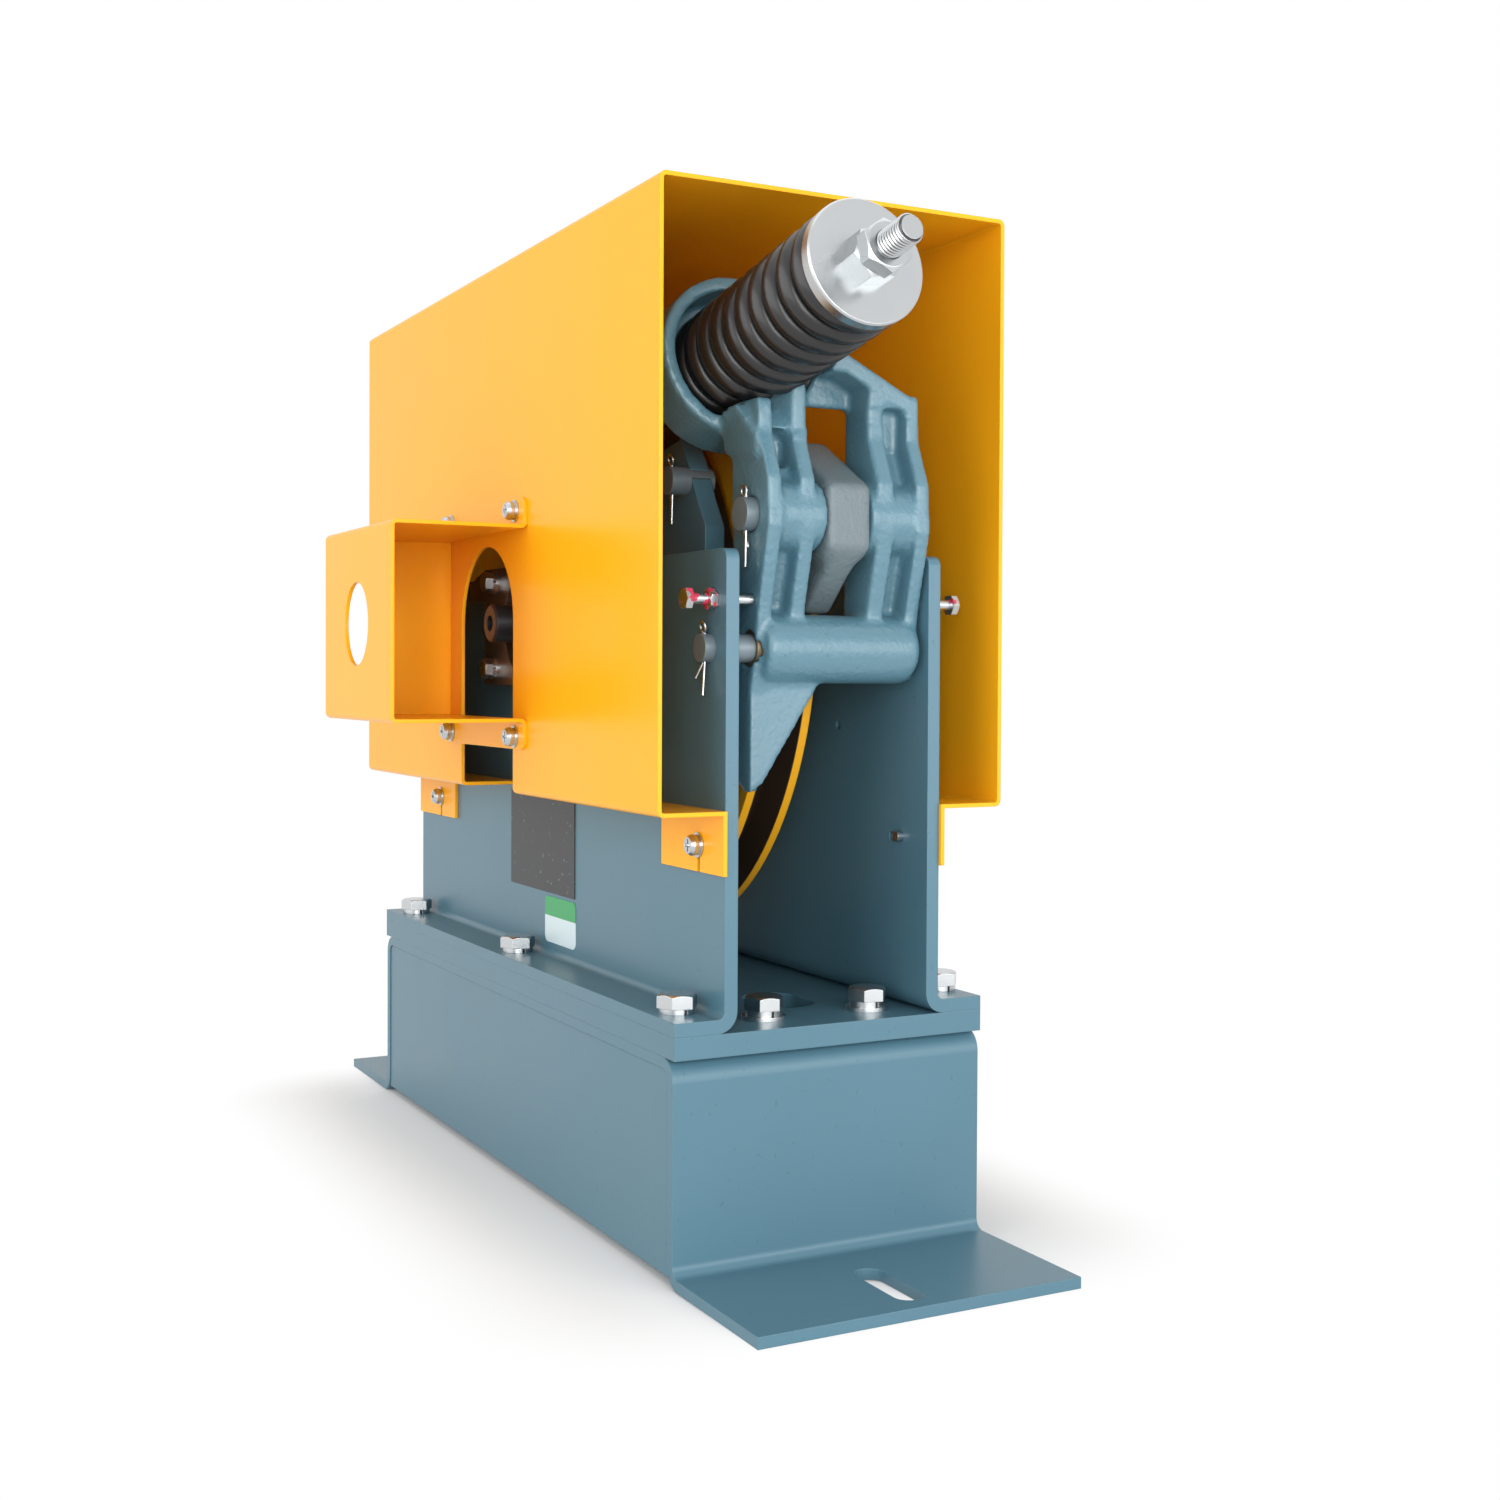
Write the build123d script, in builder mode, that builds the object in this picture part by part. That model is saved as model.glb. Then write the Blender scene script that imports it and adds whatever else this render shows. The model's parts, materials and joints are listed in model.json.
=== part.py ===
from build123d import *
from math import atan2, cos, degrees, radians, sin, tan
import os

os.makedirs("parts", exist_ok=True)

# Overspeed governor of a lift. +X towards the clamp arm, -Y the side with the guard box, +Z up.
# The origin is on the floor under the shaft, midway between the side plates. Lengths in mm.

# Sheave and rope
sheave_radius = 131.3
sheave_width = 20.2
rope_plane_y = 4.3
rope_radius = 4.0
rope_depth = 11.3
groove_mouth = 12.8
groove_gap = 0.2
rim_depth = 26.0
web_thickness = 8.0
web_left_y = 2.0
hub_radius = 30.0
hub_left_y = 1.0
hub_right_y = 33.0
web_hole_radius = 16.0
web_hole_circle = 68.0
web_hole_count = 6
sheave_key_width = 8.0
sheave_key_height = 7.0
sheave_key_depth = 4.0
sheave_key_length = 26.0
sheave_key_end_y = 31.0

# Running and assembly clearances
fit_gap = 0.05
hole_gap = 0.25

# Base frame, panels and base plate
frame_sheet = 4.0
frame_bend = 4.0
frame_beyond_pivot = 11.5
frame_width = 126.0
frame_height = 78.5
foot_reach = 62.5
foot_slot_from_frame = 38.5
foot_slot_length = 35.0
foot_slot_width = 11.0
panel_set_in = 0.5
panel_gap = 0.2
panel_floor_gap = 3.0
base_plate_thickness = 8.0
base_plate_overhang = 1.5
base_bolt_inset = 17.0
base_bolt_y = 21.8
base_bolt_middle_y = 3.0
rope_slot_length = 34.0
rope_slot_width = 22.0

# Side plates
plate_sheet = 5.0
plate_bend = 2.5
plate_gap = 78.0
plate_above_shaft = 22.5
plate_corner = 4.0
sheave_floor_gap = 14.2
flange_bolt_ys = (-53.3, 56.8)
flange_bolt_end = 18.8
flange_bolt_middle_x = -8.0
adjuster_from_pivot = (4.0, 17.0)
spare_holes = ((105.3, -41.0), (145.8, -82.0))
spare_hole_radius = 1.8

# Bolts: shank radius, head across flats, head height, flat washer radius and thickness,
# spring washer radius and thickness
m8 = (4.0, 13.0, 5.0, 8.0, 1.6, 6.5, 2.0)
m5 = (2.5, 8.0, 3.5, 5.0, 1.0, 4.4, 1.2)
m4 = (2.0, 7.0, 2.8, 4.5, 0.8, 3.6, 0.9)
pan_head_radius = 3.8
pan_head_height = 2.7
pan_head_round = 1.4
cross_width = 1.0
cross_length = 4.4
cross_depth = 1.3
head_turn = 22.0
crown_share = 0.94
crown_slope = 60.0
flange_bolt_length = 11.0
base_bolt_length = 30.0
m8_nut_height = 6.5
m4_nut_height = 3.2
housing_bolt_length = 14.0
adjuster_out = 9.6

# Bearings, housings and shaft
bearing_outer_radius = 21.0
bearing_inner_radius = 10.0
bearing_land = 3.6
bearing_width = 12.0
bearing_ball_radius = 3.1
bearing_ball_count = 7
bearing_reach_in = 1.0
circlip_thickness = 1.7
circlip_bite = 1.4
circlip_width = 3.8
circlip_gap = 12.0
housing_half_length = 46.0
housing_below = 26.0
housing_above = 25.0
housing_ear_x = 66.0
housing_ear_top = 19.5
housing_ear_bottom = 11.0
housing_thickness = 11.0
housing_bolt_x = 33.0
housing_bolt_z = 18.8
shaft_radius = 12.5
stub_radius = 8.0
stub_end_y = -69.0
stub_start_y = -52.5
stub_chamfer = 0.8
shaft_right_end = 53.5
stub_key_width = 5.0
stub_key_depth = 3.0
stub_key_from_y = -67.6
stub_key_length = 8.0
centre_hole_radius = 3.4
centre_hole_depth = 12.0

# Ratchet, trip lever and its pins. The horn's outline is measured from the shaft axis.
tooth_count = 16
ratchet_radius = 40.0
tooth_depth = 7.0
tooth_phase = 125.0
ratchet_thickness = 7.0
ratchet_gap = 0.5
sleeve_radius = 20.0
sleeve_left_y = -36.5
collar_radius = 32.0
collar_thickness = 6.0
bush_wall = 2.5
rod_y = -22.0
lever_thickness = 8.0
lever_hub_radius = 36.0
lever_screw_circle = 26.0
lever_screw_count = 4
lever_screw_bite = 1.0
lever_screw_from = 45.0
lug_x = 8.0
lug_radius = 11.0
lug_pin_radius = 5.0
horn_outline = (
    (-9.0, 30.0),
    (-2.5, 68.0),
    (18.5, 68.0),
    (19.0, 53.0),
    (50.0, 51.0),
    (76.0, 65.6),
    (95.0, 69.2),
    (103.4, 57.4),
    (110.0, 45.0),
    (117.0, 34.5),
    (117.0, 14.0),
    (20.0, 14.0),
)
stop_pin_radius = 4.0
stop_pin_x = 92.0
stop_gap = 0.02
hold_pin_x = 100.0
hold_pin_rise = 52.5
hold_pin_radius = 5.5
hold_pin_end_y = -34.0
hold_pin_bite = 2.0

# Flyweights, link and spring
flyweight_thickness = 7.0
flyweight_gap = 0.8
flyweight_outer = 92.0
flyweight_inner = 58.0
flyweight_pivot = 76.0
flyweight_from = 15.0
flyweight_to = 120.0
flyweight_pin_radius = 5.0
flyweight_corner = 6.0
pawl_tip_radius = 36.6
pawl_tip_angle = 117.2
pawl_heel_radius = 41.6
pawl_heel_angle = 109.0
pawl_root_angle = 112.0
flyweight_swing = 8.7
pin_step = 1.0
flyweight_pin_head = 7.0
flyweight_pin_cap = 1.5
link_x = 30.0
link_drop = 2.0
link_width = 12.0
link_thickness = 3.5
link_gap = 1.5
link_pin_radius = 3.0
link_post_x = 44.0
link_post_z = 24.0
sheave_post_z = -16.0
spring_post_radius = 2.0
small_spring_radius = 2.6
small_spring_wire = 0.8
small_spring_gap = 0.5

# Clamp arm. Its outlines are measured from the pivot, or from the rope plane across the arm.
arm_pivot_beyond_sheave = 25.7
arm_pivot_below_shaft = 12.0
arm_half_width = 33.5
arm_wall = 5.8
left_rib = (-19.7, -13.6)
right_rib = (12.0, 18.8)
arm_front = (
    (4.0, -11.0),
    (5.8, -4.4),
    (9.2, 16.0),
    (13.6, 32.0),
    (16.3, 43.0),
    (15.4, 60.0),
    (8.5, 76.0),
    (7.5, 93.0),
)
arm_rear = -11.0
arm_rear_foot = -8.0
rear_lean = 1.0
wall_top = 72.0
tongue_front = ((0.3, -30.3), (-1.9, -44.7), (-1.6, -51.3))
tongue_rear = (-7.0, -48.0)
lug_rear = ((-12.0, 41.0), (-13.0, 70.0))
channel_depth = 9.5
channel_top = 80.0
rib_set_back = 1.2
ledge_proud = 1.5
ledge_outline = ((-17.0, 70.5), (-11.0, 68.8), (8.5, 67.0), (8.5, 76.0), (-17.0, 76.0))
neck_low = (-17.0, 8.3, 75.0)
neck_high = (-30.0, -11.0, 97.0)
neck_low_y = (-35.0, -13.6)
neck_high_y = (-40.3, -3.8)
pocket_from = 64.0
pocket_top = 78.0
pocket_back = -1.5
right_cap_outline = ((-10.0, 88.0), (7.5, 88.0), (7.5, 93.0), (-10.0, 94.0))
boss_set_in = 1.0
arm_boss_radius = 12.4
boss_round_left = 3.0
boss_round_right = 5.0
rear_web_thickness = 3.5
arm_web_thickness = 5.0
arm_pin_radius = 5.0
arm_pin_proud = 4.0
bush_length = 16.0
bush_thickness = 1.5
tongue_web_out = 3.0
tongue_web_y = -1.0
tongue_low_y = -24.0
tongue_slope = 3.0
window_rise = 88.3
top_high = (2.7, 106.3)
top_low_rise = 90.8
top_thickness = 7.2
top_peak_width = 8.0
top_plate_from = -11.0
top_plate_to = 8.0

# Ring of the clamp arm, spring and rod, all on one line that rises to the front
rod_rise = 10.8
ring_from_pivot = (-20.2, 107.0)
ring_outer = 30.5
ring_inner = 25.4
ring_depth = 16.0
ring_floor = 6.0
ring_floor_hole = 8.0
spring_visible = 85.0
spring_wire = 7.6
spring_outer = 21.8
spring_turns = 10.5
spring_wire_sides = 10
disc_radius = 21.6
disc_thickness = 5.0
disc_chamfer = 0.6
rod_radius = 5.0
rod_tip_out = 27.4
rod_tip_chamfer = 1.0
rod_nut_flats = 16.0
rod_nut_height = 8.0
lock_nut_height = 6.0
rod_nut_turn = 8.0
lock_nut_turn = 34.0
floor_gap = 0.9
fork_ear = 4.0
fork_gap = 0.3
fork_length = 36.0
fork_throat = 16.0
fork_height = 20.0
fork_pin_cap = 1.2
fork_pin_flange = 2.0
fork_thread_start = 1.0

# Clamp shoe
shoe_pin_from_pivot = (2.5, 47.3)
shoe_pin_radius = 6.0
shoe_pin_proud = 4.5
shoe_hub_gap = 0.4
shoe_boss_from = 9.3
shoe_boss_radius = 13.0
shoe_reach = 12.5
shoe_facet = 12.0
shoe_brow = 11.0
shoe_chin = 15.5
shoe_width = 12.0
shoe_jaw_width = 8.0
shoe_body_gap = 7.1
shoe_jaw_open = 3.0
shoe_jaw_end = 2.5
shoe_jaw_bite = 1.0
shoe_rise = 29.7
shoe_drop = 34.3
shoe_back = 37.5
shoe_top_flat = 18.0
shoe_foot_flat = 26.0
shoe_pin_head_radius = 8.0
shoe_pin_head = 3.0
split_pin_out = 2.1
tip_gap = 0.3
arm_swing = 3.7
sheave_clear = 1.2

# Split pins
split_pin_radius = 1.2
split_loop_radius = 1.7
split_wire_radius = 0.8
split_leg = 12.0

# Cover, measured from the shaft axis, the sheave's rim and the arm's pivot
cover_sheet = 1.5
cover_bend = 2.5
cover_beyond_sheave = 44.7
cover_beyond_pivot = 14.5
cover_half_width = 70.5
cover_below_shaft = 70.0
cover_above_shaft = 148.0
tab_drop = 22.5
front_tab_length = 50.5
rear_tab_inset = 6.5
rear_tab_length = 54.5
cover_screw_inset = (40.0, 19.5)
cover_screw_drop = 11.5
cover_screw_length = 9.0
screw_slot = 5.0
slot_width = 2.4
window_radius = 32.0

# Guard box
guard_drop = 1.25
guard_half_length = 48.0
guard_half_height = 39.25
guard_depth = 55.5
guard_flange = 11.0
guard_bend = 2.5
guard_hole_radius = 17.0
guard_outlet = (-120.5, -105.0)
guard_outlet_half = 20.0
guard_screw_xs = (-41.0, 38.0)
guard_screw_offset = 6.0
guard_screw_length = 7.0
guard_corner = 4.0

# Labels
nameplate_x = -40.0
nameplate_above_base = 31.5
nameplate_size = (74.0, 42.0)
sticker_x = 1.0
sticker_above_base = 10.5
sticker_size = (34.0, 19.5)
sticker_corner = 3.0
label_sheet = 0.5

# Places worked out from the sizes above
base_plate_top = frame_height + base_plate_thickness
flange_top = base_plate_top + plate_sheet
shaft_height = base_plate_top + sheave_floor_gap + sheave_radius
pitch_radius = sheave_radius - rope_depth
arm_pivot_x = sheave_radius + arm_pivot_beyond_sheave
arm_pivot_z = shaft_height - arm_pivot_below_shaft
frame_length = 2 * (arm_pivot_x + frame_beyond_pivot)
base_plate_length = frame_length + 2 * base_plate_overhang
foot_slot_spacing = frame_length + 2 * foot_slot_from_frame
base_bolt_x = frame_length / 2 - base_bolt_inset
flange_bolt_x = base_plate_length / 2 - flange_bolt_end
flange_bolt_xs = (-flange_bolt_x, flange_bolt_middle_x, flange_bolt_x)
plate_inner_y = plate_gap / 2
plate_outer_y = plate_inner_y + plate_sheet
plate_top = shaft_height + plate_above_shaft
adjuster_x = arm_pivot_x + adjuster_from_pivot[0]
adjuster_z = arm_pivot_z + adjuster_from_pivot[1]
frame_half_width = frame_width / 2
sheave_left_y = rope_plane_y - sheave_width / 2
sheave_right_y = rope_plane_y + sheave_width / 2
web_right_y = web_left_y + web_thickness
bearing_in_y = plate_inner_y - bearing_reach_in
bearing_out_y = bearing_in_y + bearing_width
housing_face_y = plate_outer_y + housing_thickness
ratchet_right_y = hub_left_y - ratchet_gap
ratchet_left_y = ratchet_right_y - ratchet_thickness
flyweight_right_y = web_left_y - flyweight_gap
flyweight_left_y = flyweight_right_y - flyweight_thickness
link_right_y = ratchet_left_y - link_gap
link_left_y = link_right_y - link_thickness
collar_left_y = rod_y + lever_thickness / 2
collar_right_y = collar_left_y + collar_thickness
lever_left_y = rod_y - lever_thickness / 2
bush_radius = shaft_radius + fit_gap + bush_wall
hold_pin_z = shaft_height + hold_pin_rise
horn = [(x, shaft_height + z) for x, z in horn_outline]
stop_pin_z = horn[-1][1] - stop_pin_radius - stop_gap
arm_left_y = rope_plane_y - arm_half_width
arm_right_y = rope_plane_y + arm_half_width
arm_width = 2 * arm_half_width
ring_x = arm_pivot_x + ring_from_pivot[0]
ring_z = arm_pivot_z + ring_from_pivot[1]
rod_cos = cos(radians(rod_rise))
rod_sin = sin(radians(rod_rise))
lug_z = ring_z - (ring_x - lug_x) * tan(radians(rod_rise))
lug_along = -(ring_x - lug_x) / rod_cos
shoe_pin_x = arm_pivot_x + shoe_pin_from_pivot[0]
shoe_pin_z = arm_pivot_z + shoe_pin_from_pivot[1]
shoe_hub_half = shoe_boss_from - shoe_hub_gap
shoe_body_radius = sheave_radius + shoe_body_gap
shoe_jaw_radius = pitch_radius + rope_radius + shoe_jaw_open
ear_out = lever_thickness / 2 + fork_gap + fork_ear
cover_rear_x = -(sheave_radius + cover_beyond_sheave)
cover_front_x = arm_pivot_x + cover_beyond_pivot
cover_bottom = shaft_height - cover_below_shaft
cover_top = shaft_height + cover_above_shaft
cover_screw_z = cover_bottom - cover_screw_drop
cover_screw_xs = (cover_rear_x + cover_screw_inset[0], cover_front_x - cover_screw_inset[1])
front_tab = (cover_front_x - front_tab_length, cover_front_x)
rear_tab = (cover_rear_x + rear_tab_inset, cover_rear_x + rear_tab_inset + rear_tab_length)
guard_middle_z = shaft_height - guard_drop
shaft_line = Axis((0, 0, shaft_height), (0, 1, 0))
shaft_point = (0.0, shaft_height)
pivot_point = (arm_pivot_x, arm_pivot_z)
shoe_point = (shoe_pin_x, shoe_pin_z)


def across(y):
    """Plane square to the shaft at this Y, with local x along +X and local y along +Z."""
    return Plane(origin=(0, y, 0), x_dir=(1, 0, 0), z_dir=(0, -1, 0))


def on_shaft(y):
    """The same plane with its origin on the shaft axis."""
    return Plane(origin=(0, y, shaft_height), x_dir=(1, 0, 0), z_dir=(0, -1, 0))


def rod_plane(along, y=rod_y):
    """Plane square to the rod's line, measured from the ring's face; local y points up."""
    return Plane(
        origin=(ring_x + along * rod_cos, y, ring_z + along * rod_sin),
        x_dir=(0, 1, 0),
        z_dir=(rod_cos, 0, rod_sin),
    )


def level_plane(z, x=0.0, y=0.0):
    return Plane(origin=(x, y, z), x_dir=(1, 0, 0), z_dir=(0, 0, 1))


def side_plane(side, x, y, z):
    """Plane that faces outwards on the left (-1) or right (1) side."""
    return Plane(origin=(x, side * y, z), x_dir=(1, 0, 0), z_dir=(0, side, 0))


def polar(radius, angle):
    return (radius * cos(radians(angle)), radius * sin(radians(angle)))


def turned(point, centre, angle):
    """Point turned about a centre, anticlockwise in the sketch."""
    dx = point[0] - centre[0]
    dy = point[1] - centre[1]
    c = cos(radians(angle))
    s = sin(radians(angle))
    return (centre[0] + dx * c - dy * s, centre[1] + dx * s + dy * c)


def from_pivot(points):
    """Places in the side view, given from the arm's pivot."""
    return [(arm_pivot_x + x, arm_pivot_z + z) for x, z in points]


def disc(plane, radius, height, mode=Mode.ADD):
    """Round slug on a plane, added to or cut from the part being built."""
    with BuildSketch(plane) as face:
        Circle(radius)
    extrude(face.sketch, amount=height, mode=mode)


def ring(plane, outer, inner, height):
    with BuildSketch(plane) as face:
        Circle(outer)
        Circle(inner, mode=Mode.SUBTRACT)
    extrude(face.sketch, amount=height)


def hexagon(plane, flats, height, bore=0.0):
    with BuildSketch(plane) as face:
        RegularPolygon(radius=flats / 2, side_count=6, major_radius=False)
        if bore > 0:
            Circle(bore, mode=Mode.SUBTRACT)
    extrude(face.sketch, amount=height)


def hex_head(plane, flats, height, turn=0.0, bore=0.0):
    """Hexagon whose outer corners are turned off round."""
    crown_radius = crown_share * flats / 2
    foot_radius = crown_radius + height * tan(radians(crown_slope))
    standing = (Align.CENTER, Align.CENTER, Align.MIN)
    with BuildPart() as head:
        with BuildSketch(plane):
            RegularPolygon(radius=flats / 2, side_count=6, major_radius=False, rotation=turn)
        extrude(amount=height)
        with Locations(plane):
            Cone(foot_radius, crown_radius, height, align=standing, mode=Mode.INTERSECT)
            if bore > 0:
                Cylinder(bore, height, align=standing, mode=Mode.SUBTRACT)
    add(head.part)


def washer_stack(size):
    """Height of the flat washer and spring washer under a bolt's head."""
    return size[4] + size[6]


def flat_washer(plane, size):
    ring(plane, size[3], size[0] + hole_gap, size[4])


def spring_washer(plane, size):
    """Split spring washer that lies on the plane."""
    with BuildSketch(plane) as face:
        Circle(size[5])
        Circle(size[0] + hole_gap, mode=Mode.SUBTRACT)
        with Locations((size[5] - size[6] / 2, 0)):
            Rectangle(2 * size[6], size[6] / 2, rotation=head_turn, mode=Mode.SUBTRACT)
    extrude(face.sketch, amount=size[6])


def bolt(plane, size, length, stack):
    """Hex bolt whose head sits on washers of this height; the shank goes down by the length."""
    head = plane.offset(stack)
    hex_head(head, size[1], size[2], head_turn)
    disc(head, size[0], -(length + stack))


pieces = {}

# Base frame: one strip bent like a hat, with a slotted foot at each end
foot_tip = frame_length / 2 + foot_reach
with BuildPart() as base_frame:
    with BuildSketch(Plane.XZ):
        with BuildLine():
            Polyline(
                (-foot_tip, 0),
                (foot_tip, 0),
                (foot_tip, frame_sheet),
                (frame_length / 2, frame_sheet),
                (frame_length / 2, frame_height),
                (-frame_length / 2, frame_height),
                (-frame_length / 2, frame_sheet),
                (-foot_tip, frame_sheet),
                close=True,
            )
        make_face()
        with Locations((0, (frame_height - frame_sheet) / 2)):
            Rectangle(frame_length - 2 * frame_sheet, frame_height - frame_sheet, mode=Mode.SUBTRACT)
    extrude(amount=frame_half_width, both=True)
    bends = base_frame.edges().filter_by(Axis.Y)
    at_wall = bends.filter_by(lambda e: abs(abs(e.center().X) - frame_length / 2) < 0.01)
    inside_wall = bends.filter_by(lambda e: abs(abs(e.center().X) - frame_length / 2 + frame_sheet) < 0.01)
    top_outer = at_wall.filter_by(lambda e: e.center().Z > frame_height - 1)
    foot_inner = at_wall.filter_by(lambda e: e.center().Z < frame_sheet + 1)
    top_inner = inside_wall.filter_by(lambda e: e.center().Z > frame_sheet + 1)
    foot_outer = inside_wall.filter_by(lambda e: e.center().Z < 1)
    fillet(top_outer + foot_outer, frame_bend + frame_sheet)
    fillet(top_inner + foot_inner, frame_bend)
    with BuildSketch(level_plane(frame_sheet)):
        with Locations((-foot_slot_spacing / 2, 0), (foot_slot_spacing / 2, 0)):
            SlotOverall(foot_slot_length, foot_slot_width)
    extrude(amount=-frame_sheet, mode=Mode.SUBTRACT)
    with BuildSketch(level_plane(frame_height, y=rope_plane_y)):
        with Locations((-pitch_radius, 0), (pitch_radius, 0)):
            SlotOverall(rope_slot_length, rope_slot_width)
        with Locations((0, base_bolt_middle_y - rope_plane_y)):
            with GridLocations(2 * base_bolt_x, 2 * base_bolt_y, 2, 2):
                Circle(m8[0] + hole_gap)
    extrude(amount=-frame_sheet, mode=Mode.SUBTRACT)
pieces["base_frame"] = base_frame

# Side panels, set into the frame's open sides
panel_length = frame_length - 2 * frame_sheet - 2 * panel_gap
panel_height = frame_height - frame_sheet - panel_gap - panel_floor_gap
for side, name in ((-1, "left"), (1, "right")):
    with BuildPart() as panel:
        with BuildSketch(across(side * (frame_half_width - panel_set_in - frame_sheet / 2))):
            with Locations((0, panel_floor_gap + panel_height / 2)):
                Rectangle(panel_length, panel_height)
            fillet(vertices().group_by(Axis.Y)[-1], frame_bend)
        extrude(amount=frame_sheet / 2, both=True)
    pieces[f"base_panel_{name}"] = panel

# Base plate, with the rope slots and the bolt holes
with BuildPart() as base_plate:
    with BuildSketch(level_plane(frame_height)):
        Rectangle(base_plate_length, frame_width)
    extrude(amount=base_plate_thickness)
    with BuildSketch(level_plane(frame_height, y=rope_plane_y)):
        with Locations((-pitch_radius, 0), (pitch_radius, 0)):
            SlotOverall(rope_slot_length, rope_slot_width)
        with Locations((0, base_bolt_middle_y - rope_plane_y)):
            with GridLocations(2 * base_bolt_x, 2 * base_bolt_y, 2, 2):
                Circle(m8[0] + hole_gap)
    extrude(amount=base_plate_thickness, mode=Mode.SUBTRACT)
    with BuildSketch(level_plane(frame_height)):
        for x in flange_bolt_xs:
            for y in flange_bolt_ys:
                with Locations((x, y)):
                    Circle(m8[0] + fit_gap)
    extrude(amount=base_plate_thickness, mode=Mode.SUBTRACT)
pieces["base_plate"] = base_plate

# Side plates, each bent outwards into a bolting flange
for side, name, bolt_y in ((-1, "left", flange_bolt_ys[0]), (1, "right", flange_bolt_ys[1])):
    with BuildPart() as side_plate:
        with BuildSketch(Plane.YZ):
            with BuildLine():
                Polyline(
                    (side * plate_inner_y, base_plate_top),
                    (side * frame_half_width, base_plate_top),
                    (side * frame_half_width, flange_top),
                    (side * plate_outer_y, flange_top),
                    (side * plate_outer_y, plate_top),
                    (side * plate_inner_y, plate_top),
                    close=True,
                )
            make_face()
        extrude(amount=base_plate_length / 2, both=True)
        long_edges = side_plate.edges().filter_by(Axis.X)
        outer = long_edges.filter_by(
            lambda e: abs(abs(e.center().Y) - plate_inner_y) < 0.01 and e.center().Z < base_plate_top + 1
        )
        inner = long_edges.filter_by(
            lambda e: abs(abs(e.center().Y) - plate_outer_y) < 0.01 and e.center().Z < flange_top + 1
        )
        fillet(outer, plate_bend + plate_sheet)
        fillet(inner, plate_bend)
        corners = side_plate.edges().filter_by(Axis.Y).filter_by(lambda e: e.center().Z > plate_top - 1)
        fillet(corners, plate_corner)
        with BuildSketch(across(side * plate_inner_y)):
            with Locations(shaft_point):
                Circle(bearing_outer_radius + fit_gap)
                with GridLocations(2 * housing_bolt_x, 2 * housing_bolt_z, 2, 2):
                    Circle(m5[0] + fit_gap)
            with Locations(pivot_point):
                Circle(arm_pin_radius + fit_gap)
            with Locations((adjuster_x, adjuster_z)):
                Circle(m4[0] + fit_gap)
            for x in cover_screw_xs:
                with Locations((x, cover_screw_z)):
                    Circle(m4[0] + fit_gap)
            if side == 1:
                for x, z in spare_holes:
                    with Locations((x, shaft_height + z)):
                        Circle(spare_hole_radius)
            else:
                with Locations((stop_pin_x, stop_pin_z)):
                    Circle(stop_pin_radius + fit_gap)
        extrude(amount=-side * plate_sheet, mode=Mode.SUBTRACT)
        with BuildSketch(level_plane(flange_top)):
            for x in flange_bolt_xs:
                with Locations((x, bolt_y)):
                    Circle(m8[0] + hole_gap)
        extrude(amount=-plate_sheet, mode=Mode.SUBTRACT)
    pieces[f"side_plate_{name}"] = side_plate

# Bolts, washers and nuts of the base. The flanges have spring washers only.
flange_planes = []
for y in flange_bolt_ys:
    for x in flange_bolt_xs:
        flange_planes.append(level_plane(flange_top, x, y))
base_bolt_planes = []
for side in (-1, 1):
    for x in (-base_bolt_x, base_bolt_x):
        base_bolt_planes.append(level_plane(base_plate_top, x, base_bolt_middle_y + side * base_bolt_y))
with BuildPart() as flange_bolts:
    for plane in flange_planes:
        bolt(plane, m8, flange_bolt_length, m8[6])
pieces["flange_bolts"] = flange_bolts
with BuildPart() as base_bolts:
    for plane in base_bolt_planes:
        bolt(plane, m8, base_bolt_length - base_plate_thickness, washer_stack(m8))
pieces["base_bolts"] = base_bolts
with BuildPart() as base_nuts:
    for plane in base_bolt_planes:
        under = plane.offset(-(base_plate_thickness + frame_sheet + m8_nut_height))
        hexagon(under, m8[1], m8_nut_height, m8[0] + fit_gap)
pieces["base_nuts"] = base_nuts
with BuildPart() as m8_flat_washers:
    for plane in base_bolt_planes:
        flat_washer(plane, m8)
pieces["m8_flat_washers"] = m8_flat_washers
with BuildPart() as m8_spring_washers:
    for plane in flange_planes:
        spring_washer(plane, m8)
    for plane in base_bolt_planes:
        spring_washer(plane.offset(m8[4]), m8)
pieces["m8_spring_washers"] = m8_spring_washers

# Bearing housings with their bolts and the rings that hold the bearings
for side, name in ((-1, "left"), (1, "right")):
    with BuildPart() as housing:
        with BuildSketch(on_shaft(side * plate_outer_y)):
            with BuildLine():
                Polyline(
                    (-housing_half_length, -housing_below),
                    (housing_half_length, -housing_below),
                    (housing_half_length, housing_above),
                    (-housing_half_length, housing_above),
                    (-housing_ear_x, housing_ear_top),
                    (-housing_ear_x, housing_ear_bottom),
                    (-housing_half_length, housing_ear_bottom),
                    close=True,
                )
            make_face()
            Circle(bearing_outer_radius + fit_gap, mode=Mode.SUBTRACT)
            with GridLocations(2 * housing_bolt_x, 2 * housing_bolt_z, 2, 2):
                Circle(m5[0] + hole_gap, mode=Mode.SUBTRACT)
        extrude(amount=-side * housing_thickness)
        groove = side_plane(side, 0, bearing_out_y, shaft_height)
        disc(groove, bearing_outer_radius + circlip_bite, circlip_thickness, Mode.SUBTRACT)
    pieces[f"bearing_housing_{name}"] = housing
housing_planes = []
for side in (-1, 1):
    for dx in (-housing_bolt_x, housing_bolt_x):
        for dz in (-housing_bolt_z, housing_bolt_z):
            housing_planes.append(side_plane(side, dx, housing_face_y, shaft_height + dz))
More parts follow.
